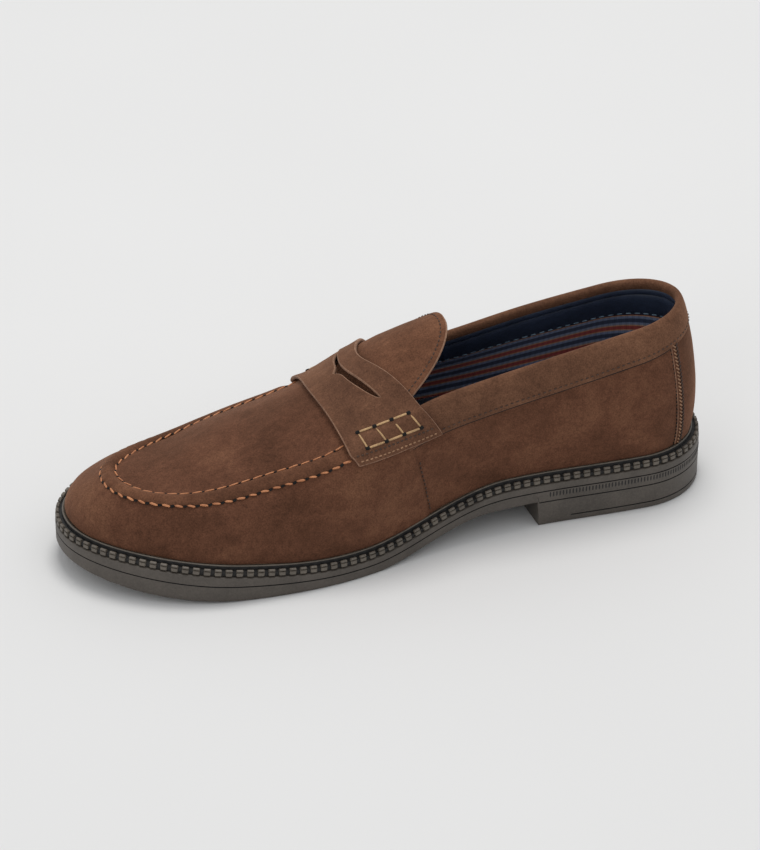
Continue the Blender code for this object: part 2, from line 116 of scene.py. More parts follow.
def along_last(at, values, x):
    return through(np.multiply(at, LENGTH), values, x)


def ease(t):
    t = np.clip(t, 0, 1)
    return t * t * (3 - 2 * t)


def unit(v):
    return v / np.linalg.norm(v, axis=-1, keepdims=True)


class Outline:
    """Closed plan curve: round toe cap, two shaped sides, round heel cap."""

    def __init__(self, ends, caps, at, medial, lateral, bend_at, bend, inset=0.0):
        self.toe, self.heel = ends[0] * LENGTH - inset, ends[1] * LENGTH + inset
        self.toe_r = caps[0] * LENGTH - CAP_SHRINK * inset
        self.heel_r = caps[2] * LENGTH - CAP_SHRINK * inset
        self.toe_n, self.heel_n = caps[1], caps[3]
        self.at, self.bend_at, self.bend = at, bend_at, bend
        self.medial = np.multiply(medial, BALL_WIDTH) - inset
        self.lateral = np.multiply(lateral, BALL_WIDTH) - inset

    def side_x(self, share):
        return (self.toe - self.toe_r) * (1 - share) + (self.heel + self.heel_r) * share

    def where(self, x):
        """Place along the half outline (0 toe, 0.5 heel) of a station on the side."""
        front, back = self.side_x(0.0), self.side_x(1.0)
        return SIDE_TOE + (SIDE_HEEL - SIDE_TOE) * (front - x) / (front - back)

    def plan(self, u):
        """Point at u: 0 toe, up to 0.5 along the inner side to the heel, back to 1."""
        u = np.asarray(u, float) % 1.0
        medial, half = u <= 0.5, np.where(u <= 0.5, u, 1 - u)
        a = np.clip(half / SIDE_TOE, 0, 1) * np.pi / 2
        c = np.clip((half - SIDE_HEEL) / (0.5 - SIDE_HEEL), 0, 1) * np.pi / 2
        share = np.clip((half - SIDE_TOE) / (SIDE_HEEL - SIDE_TOE), 0, 1)
        in_toe, in_heel = half < SIDE_TOE, half >= SIDE_HEEL
        x = np.where(in_toe, self.toe - self.toe_r * (1 - np.cos(a) ** (2 / self.toe_n)),
                     np.where(in_heel, self.side_x(1.0) - self.heel_r
                              * np.sin(c) ** (2 / self.heel_n), self.side_x(share)))
        k = np.where(in_toe, np.sin(a) ** (2 / self.toe_n),
                     np.where(in_heel, np.abs(np.cos(c)) ** (2 / self.heel_n), 1.0))
        k = np.where(np.abs(half - 0.5) < 1e-9, 0.0, k)
        wide = np.where(medial, along_last(self.at, self.medial, x),
                        -along_last(self.at, self.lateral, x))
        bend = BALL_WIDTH * along_last(self.bend_at, self.bend, x)
        return x, bend + k * wide

    def outward(self, u, step=1e-4):
        x1, y1 = self.plan(u + step)
        x0, y0 = self.plan(u - step)
        size = np.hypot(x1 - x0, y1 - y0)
        return (y1 - y0) / size, -(x1 - x0) / size


def sole_outline(inset):
    return Outline((0.5, -0.5), SOLE_CAPS, SOLE_AT, SOLE_MEDIAL, SOLE_LATERAL,
                   BEND_AT, SOLE_BEND, inset)


foot_line = sole_outline(WELT_REACH)
edge_line = Outline(EDGE_ENDS, EDGE_CAPS, EDGE_AT, EDGE_MEDIAL, EDGE_LATERAL,
                    EDGE_BEND_AT, EDGE_BEND)
full = sole_outline(0.0).plan(np.linspace(0, 1, 721))[1]
CENTRE_Y = (full.max() + full.min()) / 2
print("middle of the sole across:", round(CENTRE_Y, 2), "mm")

# %% [markdown]
# ## Surfaces of the upper
# Every point of a side wall has two numbers: u goes round the shoe (0 at the toe, 0.5 at the heel, back to
# 1 at the toe along the outer side) and v climbs the wall. The wall is one soft curve between the welt and
# the upper edge. The apron and tongue are arches between the two edges. Because all pieces ask these same
# functions for their place, a seam, a strap or a stitch always lies on the leather it belongs to.


# %% Wall, arch and saddle
def seat(x):
    """Top of the welt: high at the heel, low at the ball, rising to the toe."""
    back = ease((SEAT_BACK - x / LENGTH) / SEAT_BACK_RUN)
    front = ease((x / LENGTH - SEAT_FRONT) / (0.5 - SEAT_FRONT))
    return BALL_SEAT + (HEEL_SEAT - BALL_SEAT) * back + (TOE_SEAT - BALL_SEAT) * front


def edge_heights(u, x):
    medial = COLLAR_HEIGHT * along_last(EDGE_AT, EDGE_UP_MEDIAL, x)
    lateral = COLLAR_HEIGHT * along_last(EDGE_AT, EDGE_UP_LATERAL, x)
    share = 0.5 + 0.5 * np.tanh(6 * np.sin(2 * np.pi * np.asarray(u, float)))
    return medial * share + lateral * (1 - share)


def wall_point(u, v):
    """Side of the upper: v = 0 at the welt, 1 at the apron seam or topline."""
    u, v = np.broadcast_arrays(np.asarray(u, float), np.asarray(v, float))
    fx, fy = foot_line.plan(u)
    ex, ey = edge_line.plan(u)
    foot = np.stack([fx, fy, seat(fx) + GAP + FACET], -1)
    edge = np.stack([ex, ey, edge_heights(u, ex)], -1)
    reach = np.linalg.norm(edge - foot, axis=-1)
    lean0 = np.radians(along_last(FOOT_LEAN_AT, FOOT_LEAN, fx))
    lean1 = np.radians(along_last(EDGE_LEAN_AT, EDGE_LEAN, ex))
    ox, oy = foot_line.outward(u)
    px, py = edge_line.outward(u)
    rise0 = np.stack([ox * np.sin(lean0), oy * np.sin(lean0), np.cos(lean0)], -1)
    rise1 = np.stack([-px * np.sin(lean1), -py * np.sin(lean1), np.cos(lean1)], -1)
    pull0 = foot + rise0 * (reach * FOOT_PULL)[..., None]
    pull1 = edge - rise1 * (reach * EDGE_PULL)[..., None]
    v = v[..., None]
    return ((1 - v) ** 3 * foot + 3 * (1 - v) ** 2 * v * pull0
            + 3 * (1 - v) * v * v * pull1 + v ** 3 * edge)


def top_point(u, w):
    """Arched surface from the inner edge at u (w = 0) to the outer edge (w = 1)."""
    u, w = np.broadcast_arrays(np.asarray(u, float), np.asarray(w, float))
    medial, lateral = wall_point(u, np.ones_like(u)), wall_point(1 - u, np.ones_like(u))
    point = medial * (1 - w)[..., None] + lateral * w[..., None]
    crown = INSTEP_CROWN * along_last(CROWN_AT, CROWN, medial[..., 0])
    point[..., 2] += crown * (1 - (2 * w - 1) ** 2)
    return point


def wall_normal(u, v):
    """Outward unit normal of the wall."""
    u, v = np.broadcast_arrays(np.asarray(u, float), np.asarray(v, float))
    round_it = wall_point(u + 3e-4, v) - wall_point(u - 3e-4, v)
    up_it = wall_point(u, np.clip(v + 2e-3, 0, 1)) - wall_point(u, np.clip(v - 2e-3, 0, 1))
    normal = unit(np.cross(round_it, up_it))
    out = np.stack([*foot_line.outward(u), np.zeros(u.shape)], -1)
    return normal * np.sign((normal * out).sum(-1, keepdims=True))


def below(u, s):
    """v of the wall at s millimetres below its upper edge, measured along the leather."""
    u, s = np.broadcast_arrays(np.asarray(u, float), np.asarray(s, float))
    steps = np.linspace(1, 0, 61)
    places, which = np.unique(u, return_inverse=True)
    lines = wall_point(places[:, None], steps[None, :])
    down = np.cumsum(np.linalg.norm(np.diff(lines, axis=1), axis=-1), axis=1)
    which, found = which.reshape(u.shape), np.empty(u.shape)
    for i, run in enumerate(down):
        here = which == i
        found[here] = np.interp(s[here], np.append(0, run), steps)
    return found


def off_wall(u, s, h):
    """Point s mm below the upper edge and h mm out from the leather; s < 0 stands above the edge."""
    u, s, h = np.broadcast_arrays(*(np.asarray(a, float) for a in (u, s, h)))
    v = below(u, np.clip(s, 0, None))
    normal = wall_normal(u, v)
    up = unit(wall_point(u, np.ones_like(u)) - wall_point(u, np.full_like(u, 0.97)))
    return wall_point(u, v) + normal * h[..., None] + up * np.clip(-s, 0, None)[..., None]


STRAP_FRONT, STRAP_BACK = (26.5, 34.0, 27.5), (-12.5, 11.5, -15.0)
STRAP_END = ((50.3, 57.0), (45.5, 50.0))
RIDGE_ROUND, OVER_TOP = 0.22, 0.72
THROAT = 22.0


def saddle_point(x, t):
    """Section over the whole shoe at edge station x: t = -1 inner wall, 0 ridge, 1 outer wall."""
    x, t = np.broadcast_arrays(np.asarray(x, float), np.asarray(t, float))
    u = edge_line.where(x)
    share = (STRAP_FRONT[1] - x) / (STRAP_FRONT[1] - STRAP_BACK[0])
    front, back = (np.where(t < 0, STRAP_END[0][k], STRAP_END[1][k]) for k in (0, 1))
    goal = (front + (back - front) * share)[..., None]
    side, v = np.where(t < 0, u, 1 - u), np.linspace(0, 1, 41)
    z = wall_point(side[..., None], v)[..., 2]
    k = np.clip((z < goal).sum(-1, keepdims=True), 1, 40)
    z0, z1 = np.take_along_axis(z, k - 1, -1), np.take_along_axis(z, k, -1)
    low = ((k - 1 + (goal - z0) / (z1 - z0)) / 40)[..., 0]
    down = wall_point(side, 1 - (1 - low) * np.clip(np.abs(t) - 0.5, 0, None) / 0.5)
    arch = top_point(u, np.clip(t, -0.5, 0.5) + 0.5)
    return np.where((np.abs(t) <= 0.5)[..., None], arch, down)


for label, u in (("collar at the heel", 0.5), ("apron at the toe", 0.0)):
    print(label + ":", wall_point(u, 1.0).round(1))

# %% [markdown]
# ## Making a piece
# Leather pieces are sheets with a cut, slightly rounded edge. We could put a Solidify modifier on each, but
# its rim is square. `sheet_piece` makes the thickness itself: it copies the outer skin inwards and closes
# every border, slots too, with a half-round rim that can have its own material. `solid_piece` is for closed
# shapes. Both weld doubles, turn the normals out and let the piece ride on the shoe's one body.


# %% Piece makers
def weld(points, faces, uv=None, outward=True, tags=None):
    """A bmesh of the welded faces, turned away from the axis of the shoe."""
    work = bmesh.new()
    layer = work.loops.layers.uv.new("cloth") if uv is not None else None
    verts = [work.verts.new(p) for p in np.asarray(points, float)]
    for k, face in enumerate(faces):
        made = work.faces.new([verts[i] for i in face])
        made.material_index = tags[k] if tags is not None else 0
        if layer:
            for loop, i in zip(made.loops, face):
                loop[layer].uv = uv[i]
    bmesh.ops.remove_doubles(work, verts=work.verts, dist=1e-4)
    bmesh.ops.dissolve_degenerate(work, edges=work.edges, dist=1e-5)
    bmesh.ops.recalc_face_normals(work, faces=work.faces)
    if outward:
        total = 0.0
        for face in work.faces:
            middle = face.calc_center_median()
            axis = Vector((min(max(middle.x, -90), 90), 0.0, 30.0))
            total += face.calc_area() * face.normal.dot((middle - axis).normalized())
        if total < 0:
            bmesh.ops.reverse_faces(work, faces=work.faces)
    work.normal_update()
    return work


def finish_piece(name, work, materials, stands_for=(), sharp=50.0):
    """Place the mesh in metres, give it materials and let it ride on the shoe."""
    for edge in work.edges:
        if len(edge.link_faces) == 2:
            edge.smooth = bool(edge.calc_face_angle(0.0) < np.radians(sharp))
    for face in work.faces:
        face.smooth = True
    for vert in work.verts:
        vert.co = (vert.co - Vector((0, CENTRE_Y, 0))) * MM
    mesh = bpy.data.meshes.new(name)
    work.to_mesh(mesh)
    work.free()
    for material in materials:
        mesh.materials.append(material)
    piece = bpy.data.objects.new(name, mesh)
    bpy.context.scene.collection.objects.link(piece)
    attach(piece, "root")
    for node in stands_for:
        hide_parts(node)
    print(f"{name}: {sum(len(p.vertices) - 2 for p in mesh.polygons)} triangles")
    return piece


def solid_piece(name, points, faces, materials, stands_for=(), sharp=50.0, tags=None):
    work = weld(points, faces, outward=False, tags=tags)
    return finish_piece(name, work, materials, stands_for, sharp)


def sheet_piece(name, points, faces, thick, materials, stands_for=(), relief=None,
                shift=0.0, uv=None, bulge=0.5):
    """Closed sheet: outer skin, half-round rim (second material) and back (third material)."""
    work = weld(points, faces, uv)
    layer = work.loops.layers.uv.active if uv is not None else None
    place = np.array([v.co for v in work.verts])
    normal = np.array([v.normal for v in work.verts])
    lift = np.clip(relief(place), -0.7 * thick, None) if relief else np.zeros(len(place))
    rear = place + normal * (shift - thick)
    place = place + normal * (lift + shift)[:, None]
    for vert, p in zip(work.verts, place):
        vert.co = p
    work.normal_update()
    work.verts.index_update()
    normal = np.array([v.normal for v in work.verts])
    outer, skin = list(work.verts), list(work.faces)
    back = [work.verts.new(p) for p in rear]
    for face in skin:
        made = work.faces.new([back[v.index] for v in reversed(face.verts)])
        made.material_index = 2
        if layer:
            for loop, other in zip(made.loops, reversed(face.loops)):
                loop[layer].uv = other[layer].uv
    ahead = {}
    for face in skin:
        for loop in face.loops:
            if len(loop.edge.link_faces) == 1:
                ahead[loop.vert.index] = loop.link_loop_next.vert.index
    before = {b: a for a, b in ahead.items()}
    ring = {}
    for i in ahead:
        run = unit(place[ahead[i]] - place[before.get(i, i)])
        side = unit(np.cross(run, normal[i]))
        ring[i] = [outer[i]]
        for turn in (np.pi / 4, np.pi / 2, 3 * np.pi / 4):
            depth = (1 - np.cos(turn)) / 2
            ring[i].append(work.verts.new(place[i] * (1 - depth) + rear[i] * depth
                                          + side * thick * bulge * np.sin(turn)))
        ring[i].append(back[i])
    for i, j in ahead.items():
        for a0, a1, b0, b1 in zip(ring[i], ring[i][1:], ring[j], ring[j][1:]):
            made = work.faces.new((b0, a0, a1, b1))
            made.material_index = 1
    return finish_piece(name, work, materials, stands_for)


def grid_faces(rows, columns, start=0, closed=False):
    last = columns if closed else columns - 1
    return [(start + r * columns + c, start + r * columns + (c + 1) % columns,
             start + (r + 1) * columns + (c + 1) % columns, start + (r + 1) * columns + c)
            for r in range(rows - 1) for c in range(last)]


def swept(grid, capped=True, ring=False):
    """Faces of a closed section carried along a path: grid[place, section point]."""
    places, around = grid.shape[:2]
    points = grid.reshape(-1, 3)
    faces = grid_faces(places, around, closed=True)
    if ring:
        last = (places - 1) * around
        faces += [(last + c, last + (c + 1) % around, (c + 1) % around, c) for c in range(around)]
    elif capped:
        faces += [tuple(range(around)), tuple(range((places - 1) * around, places * around))]
    return points, faces

# %% [markdown]
# ## Finishes
# Suede is leather with its short fibres brushed up. It has no gloss, its colour shifts in soft clouds where
# the nap lies one way or the other, and its edge against the light glows a little. So the suede material
# mixes clouds, brush strokes and tufts into a brown ramp, flecks it with single fibres, and adds a fine
# bump and a sheen.
# The rubber, the smooth lining leather, the striped cloth and the threads each get a recipe of their own.


# %% Small helpers for material nodes
def tone(red, green, blue):
    """A screen colour, 0 to 255, as the linear colour a shader wants."""
    c = np.array([red, green, blue]) / 255
    return (*np.where(c < 0.04045, c / 12.92, ((c + 0.055) / 1.055) ** 2.4), 1.0)


def start_material(name, rough, **fixed):
    material = bpy.data.materials.new(name)
    material.use_nodes = True
    shader = material.node_tree.nodes["Principled BSDF"]
    shader.inputs["Roughness"].default_value = rough
    for socket, value in fixed.items():
        shader.inputs[socket.replace("_", " ")].default_value = value
    return material, material.node_tree, shader


def mapped(tree, move=(0, 0, 0), stretch=(1, 1, 1)):
    where, mapping = tree.nodes.new("ShaderNodeTexCoord"), tree.nodes.new("ShaderNodeMapping")
    mapping.inputs["Location"].default_value = move
    mapping.inputs["Scale"].default_value = stretch
    tree.links.new(where.outputs["Object"], mapping.inputs["Vector"])
    return mapping.outputs[0]


def noise_of(tree, vector, scale, detail=3.0, rough=0.55, warp=0.0):
    node = tree.nodes.new("ShaderNodeTexNoise")
    for socket, value in (("Scale", scale), ("Detail", detail), ("Roughness", rough),
                          ("Distortion", warp)):
        node.inputs[socket].default_value = value
    tree.links.new(vector, node.inputs["Vector"])
    return node.outputs[0]


def maths(tree, operation, *terms):
    node = tree.nodes.new("ShaderNodeMath")
    node.operation = operation
    for socket, term in zip(node.inputs, terms):
        if isinstance(term, (int, float)):
            socket.default_value = term
        else:
            tree.links.new(term, socket)
    return node.outputs[0]


def ramp(tree, factor, stops, joined="LINEAR"):
    node = tree.nodes.new("ShaderNodeValToRGB")
    node.color_ramp.interpolation = joined
    points = node.color_ramp.elements
    while len(points) < len(stops):
        points.new(0.5)
    for point, (place, colour) in zip(points, stops):
        point.position, point.color = place, colour
    tree.links.new(factor, node.inputs[0])
    return node.outputs[0]


def darkened(tree, colour, shade):
    """A colour times a brightness that changes from place to place."""
    node = tree.nodes.new("ShaderNodeMix")
    node.data_type, node.blend_type = "RGBA", "MULTIPLY"
    node.inputs[0].default_value = 1.0
    tree.links.new(colour, node.inputs[6])
    tree.links.new(shade, node.inputs[7])
    return node.outputs[2]


def roughen(tree, shader, height, strength, depth):
    node = tree.nodes.new("ShaderNodeBump")
    node.inputs["Strength"].default_value = strength
    node.inputs["Distance"].default_value = depth
    tree.links.new(height, node.inputs["Height"])
    tree.links.new(node.outputs[0], shader.inputs["Normal"])


# %% Suede
def suede(name, dark, middle, light, move=(0, 0, 0)):
    material, tree, shader = start_material(
        name, 0.92, Sheen_Weight=0.32, Sheen_Roughness=0.45, Sheen_Tint=tone(196, 150, 120),
        Specular_IOR_Level=0.12)
    space = mapped(tree, move)
    clouds = noise_of(tree, space, 24, 3, 0.5, 0.7)
    brush = noise_of(tree, mapped(tree, move, (1, 1.9, 1.5)), 85, 4, 0.6, 0.4)
    fibres = noise_of(tree, space, 1500, 2, 0.7)
    tufts = noise_of(tree, space, 420, 3, 0.65)
    mix = maths(tree, "ADD", maths(tree, "MULTIPLY", clouds, 0.5), maths(tree, "MULTIPLY", brush, 0.32))
    mix = maths(tree, "ADD", mix, maths(tree, "MULTIPLY", tufts, 0.14))
    nap = ramp(tree, mix, ((0.36, dark), (0.50, middle), (0.66, light)))
    fleck = maths(tree, "ADD", maths(tree, "MULTIPLY", fibres, 1.4), maths(tree, "MULTIPLY", tufts, 0.35))
    tree.links.new(darkened(tree, nap, maths(tree, "ADD", fleck, 0.11)), shader.inputs["Base Color"])
    height = maths(tree, "ADD", fibres, maths(tree, "MULTIPLY", tufts, 0.8))
    roughen(tree, shader, height, 0.5, 0.0003)
    return material


SUEDE = suede("suede_panels", tone(78, 50, 36), tone(95, 62, 46), tone(114, 78, 58))
SUEDE_TOP = suede("suede_apron", tone(84, 55, 40), tone(102, 68, 50), tone(122, 84, 62),
                  (0.13, 0.02, 0.0))
SUEDE_STRAP = suede("suede_strap", tone(84, 57, 43), tone(100, 69, 52), tone(116, 82, 62),
                    (0.4, 0.1, 0.2))
SUEDE_BAND = suede("suede_collar", tone(88, 60, 45), tone(105, 73, 55), tone(122, 87, 66),
                   (0.2, 0.3, 0.1))


# %% Cut edges with painted highlight, threads, and near black for painted shade in holes
def grained(name, dark, light, scale, rough, strength=0.3, depth=0.0002, **fixed):
    """A finish of two tones in fine grain, for edges, threads, rubber and smooth leather."""
    material, tree, shader = start_material(name, rough, **fixed)
    space = mapped(tree)
    fine, broad = noise_of(tree, space, scale, 3, 0.6), noise_of(tree, space, scale / 14, 3)
    mix = maths(tree, "ADD", maths(tree, "MULTIPLY", fine, 0.5), maths(tree, "MULTIPLY", broad, 0.5))
    tree.links.new(ramp(tree, mix, ((0.36, dark), (0.64, light))), shader.inputs["Base Color"])
    roughen(tree, shader, fine, strength, depth)
    return material


# pale tan of the cut edges: painted highlight of an edge catching the light; the backs of the upper, strap
# and back strip get the same finish
CUT_EDGE_HIGHLIT = grained("cut_suede_edge_highlight", tone(112, 80, 62), tone(158, 122, 98), 900, 0.95)
THREAD_APRON = grained("thread_copper", tone(152, 92, 56), tone(208, 142, 96), 2200, 0.6, 0.6)
THREAD_BOX = grained("thread_sand", tone(140, 110, 76), tone(206, 168, 120), 2200, 0.6, 0.6)
THREAD_BROWN = grained("thread_brown", tone(42, 28, 21), tone(76, 53, 39), 2200, 0.7, 0.6)
THREAD_TAN = grained("thread_tan", tone(120, 86, 62), tone(168, 128, 96), 2200, 0.7, 0.6)
THREAD_BLUE = grained("thread_pale_blue", tone(82, 104, 122), tone(128, 152, 168), 2200, 0.6, 0.6)
# near black: painted shade in the needle holes and along the collar band's lower edge
SHADE_BLACK = grained("painted_shade_black", tone(6, 5, 5), tone(16, 12, 10), 900, 0.95)
RUBBER = grained("sole_rubber", tone(65, 59, 53), tone(84, 77, 70), 1100, 0.52, 0.25, 0.00012)
RUBBER_PALE = grained("welt_rubber", tone(78, 71, 63), tone(104, 96, 86), 1100, 0.5, 0.25, 0.00012)
# near black rubber: the sole's own black in its cut grooves and heel ticks, and painted shade in the welt's
# channel and between its teeth
RUBBER_BLACK_AND_SHADE = grained("groove_black_and_painted_shade", tone(16, 15, 15), tone(30, 28, 27), 1100, 0.7)
NAVY = grained("lining_leather", tone(30, 39, 56), tone(46, 57, 78), 1500, 0.5, 0.5, 0.0002,
               Coat_Weight=0.08, Coat_Roughness=0.4)
SOCK = grained("sock_cover", tone(20, 27, 44), tone(38, 47, 70), 1800, 0.9, 0.6, 0.0002,
               Sheen_Weight=0.15)

# %% [markdown]
# The cloth inside is a woven stripe that runs from toe to heel. Its pattern follows the cloth and not the
# room, so it reads the piece's own UV map: across the stripes V counts repeats of nine millimetres, and
# along them U does. A ramp gives the stripe colours; fine waves in both directions give the threads.

# %% Striped cloth
REPEAT = 9.0
STRIPES = ((0.0, tone(212, 160, 120)), (0.07, tone(178, 78, 70)), (0.26, tone(178, 78, 70)),
           (0.31, tone(216, 164, 122)), (0.38, tone(138, 152, 184)), (0.50, tone(130, 146, 178)),
           (0.55, tone(58, 70, 98)), (0.76, tone(58, 70, 98)), (0.82, tone(134, 148, 180)),
           (0.94, tone(146, 152, 170)), (1.0, tone(212, 160, 120)))
CLOTH, tree, shader = start_material("striped_cloth", 0.9, Sheen_Weight=0.1)
lies = tree.nodes.new("ShaderNodeUVMap")
lies.uv_map = "cloth"
split = tree.nodes.new("ShaderNodeSeparateXYZ")
tree.links.new(lies.outputs[0], split.inputs[0])
along, across = split.outputs[0], split.outputs[1]
stripe = ramp(tree, maths(tree, "FRACT", across), STRIPES)


def thread_wave(where, repeats, low):
    """Brightness from low to 1, a wave for each thread."""
    turn = maths(tree, "SINE", maths(tree, "MULTIPLY", where, 2 * np.pi * repeats))
    return maths(tree, "ADD", maths(tree, "MULTIPLY", turn, (1 - low) / 2), (1 + low) / 2)


fine_warp, fine_weft = thread_wave(along, 12, 0.82), thread_wave(across, 13, 0.86)
check = thread_wave(along, 3.6, 0.80)
shade = maths(tree, "MULTIPLY", maths(tree, "MULTIPLY", fine_warp, fine_weft), check)
tree.links.new(darkened(tree, stripe, shade), shader.inputs["Base Color"])
roughen(tree, shader, maths(tree, "ADD", fine_warp, fine_weft), 0.6, 0.0002)
print("materials made:", len(bpy.data.materials))

# %% [markdown]
# ## Parts along a seam
# Stitches, needle holes, welt teeth and heel ticks all repeat along a line, so one Geometry Nodes tree
# makes them all. It gets a path whose points are one pitch apart and know which way is up from the
# surface. At every point it sets one small part, turned along the path, and ends in real geometry. The
# part itself is a low mesh of a few dozen faces.


# %% Templates: a stitch and a tooth
def template(name, points, faces):
    mesh = bpy.data.meshes.new(name)
    mesh.from_pydata([tuple(p) for p in points], [], faces)
    work = bmesh.new()
    work.from_mesh(mesh)
    bmesh.ops.remove_doubles(work, verts=work.verts, dist=1e-6)
    bmesh.ops.recalc_face_normals(work, faces=work.faces)
    for face in work.faces:
        face.smooth = name != "tooth_part"
    work.to_mesh(mesh)
    work.free()
    made = bpy.data.objects.new(name, mesh)
    bpy.context.scene.collection.objects.link(made)
    return made


turns = np.linspace(0, 2 * np.pi, 9)[:-1]
hull = ((-0.5, 0.06), (-0.44, 0.32), (-0.28, 0.48), (0.0, 0.5), (0.28, 0.48), (0.44, 0.32), (0.5, 0.06))
STITCH = template("stitch_part", [(x, r * np.cos(a), r * np.sin(a)) for x, r in hull for a in turns],
                  grid_faces(7, 8, closed=True) + [tuple(range(8)), tuple(range(48, 56))])
# the tooth wraps over the edge of the welt: an upper block, a slit, and a lower block
TOOTH_SECTION = ((1.45, -1.6), (1.45, -0.7), (1.25, -0.4), (0.5, -0.15), (0.05, -0.35), (-0.1, -0.85),
                 (0.6, -0.95), (0.6, -1.3), (-0.15, -1.5), (-0.2, -2.95), (0.3, -3.3), (1.2, -3.3))
rounds = ((-0.5, 0.82), (-0.40, 1.0), (0.40, 1.0), (0.5, 0.82))
middle_y, middle_z = 1.3, -1.3
TOOTH = template("tooth_part", [(x, middle_y + (y - middle_y) * k, middle_z + (z - middle_z) * k)
                                for x, k in rounds for y, z in TOOTH_SECTION],
                 grid_faces(4, 12, closed=True) + [tuple(range(12)), tuple(range(36, 48))])
print("faces of a stitch:", len(STITCH.data.polygons), "of a tooth:", len(TOOTH.data.polygons))


# %% The tree
def seam_tree():
    tree = bpy.data.node_groups.new("parts along a seam", "GeometryNodeTree")
    for label, kind in (("Path", "Geometry"), ("Part", "Object"), ("Size", "Vector"),
                        ("Lift", "Float"), ("Slant", "Float"), ("Uneven", "Float"),
                        ("Finish", "Material")):
        tree.interface.new_socket(label, in_out="INPUT", socket_type="NodeSocket" + kind)
    tree.interface.new_socket("Geometry", in_out="OUTPUT", socket_type="NodeSocketGeometry")
    new, link = tree.nodes.new, tree.links.new
    given, out = new("NodeGroupInput"), new("NodeGroupOutput")
    up = new("GeometryNodeInputNamedAttribute")
    up.data_type = "FLOAT_VECTOR"
    up.inputs["Name"].default_value = "up"
    rise = new("ShaderNodeVectorMath")
    rise.operation = "SCALE"
    link(up.outputs["Attribute"], rise.inputs[0])
    link(given.outputs["Lift"], rise.inputs["Scale"])
    curve, moved = new("GeometryNodeMeshToCurve"), new("GeometryNodeSetPosition")
    link(given.outputs["Path"], curve.inputs[0])
    link(curve.outputs[0], moved.inputs["Geometry"])
    link(rise.outputs[0], moved.inputs["Offset"])
    ahead, face_up = new("FunctionNodeAlignRotationToVector"), new("FunctionNodeAlignRotationToVector")
    ahead.axis, face_up.axis, face_up.pivot_axis = "X", "Z", "X"
    link(new("GeometryNodeInputTangent").outputs[0], ahead.inputs["Vector"])
    link(ahead.outputs[0], face_up.inputs["Rotation"])
    link(up.outputs["Attribute"], face_up.inputs["Vector"])
    chance = new("FunctionNodeRandomValue")
    chance.inputs[2].default_value, chance.inputs[3].default_value = -1.0, 1.0
    chance.inputs["Seed"].default_value = 7
    sway, angle = new("ShaderNodeMath"), new("ShaderNodeMath")
    sway.operation, angle.operation = "MULTIPLY", "ADD"
    link(chance.outputs[1], sway.inputs[0])
    link(given.outputs["Uneven"], sway.inputs[1])
    link(sway.outputs[0], angle.inputs[0])
    link(given.outputs["Slant"], angle.inputs[1])
    turn, spun = new("FunctionNodeAxisAngleToRotation"), new("FunctionNodeRotateRotation")
    spun.rotation_space = "LOCAL"
    link(angle.outputs[0], turn.inputs["Angle"])
    link(face_up.outputs[0], spun.inputs[0])
    link(turn.outputs[0], spun.inputs[1])
    grow, scaled = new("ShaderNodeMath"), new("ShaderNodeVectorMath")
    grow.operation, scaled.operation = "ADD", "SCALE"
    grow.inputs[1].default_value = 1.0
    link(sway.outputs[0], grow.inputs[0])
    link(given.outputs["Size"], scaled.inputs[0])
    link(grow.outputs[0], scaled.inputs["Scale"])
    part, placed = new("GeometryNodeObjectInfo"), new("GeometryNodeInstanceOnPoints")
    link(given.outputs["Part"], part.inputs["Object"])
    link(moved.outputs[0], placed.inputs["Points"])
    link(part.outputs["Geometry"], placed.inputs["Instance"])
    link(spun.outputs[0], placed.inputs["Rotation"])
    link(scaled.outputs[0], placed.inputs["Scale"])
    real, paint = new("GeometryNodeRealizeInstances"), new("GeometryNodeSetMaterial")
    link(placed.outputs[0], real.inputs[0])
    link(real.outputs[0], paint.inputs["Geometry"])
    link(given.outputs["Finish"], paint.inputs["Material"])
    link(paint.outputs[0], out.inputs[0])
    return tree


SEAM_TREE = seam_tree()
SOCKETS = {s.name: s.identifier for s in SEAM_TREE.interface.items_tree if s.in_out == "INPUT"}
print("inputs of the tree:", list(SOCKETS))


# %% Setting a row
def spaced(points, ups, pitch, start=0.0, closed=False):
    """Places one pitch apart along a line, and the way up at each."""
    points, ups = np.asarray(points, float), np.asarray(ups, float)
    if closed:
        points, ups = np.vstack([points, points[:1]]), np.vstack([ups, ups[:1]])
    run = np.append(0, np.cumsum(np.linalg.norm(np.diff(points, axis=0), axis=1)))
    if closed:
        count = int(round(run[-1] / pitch))
        stops = np.arange(count) * run[-1] / count
    else:
        stops = np.arange(start, run[-1], pitch)
    at = np.stack([np.interp(stops, run, points[:, k]) for k in range(3)], -1)
    way = np.stack([np.interp(stops, run, ups[:, k]) for k in range(3)], -1)
    return at, unit(way)


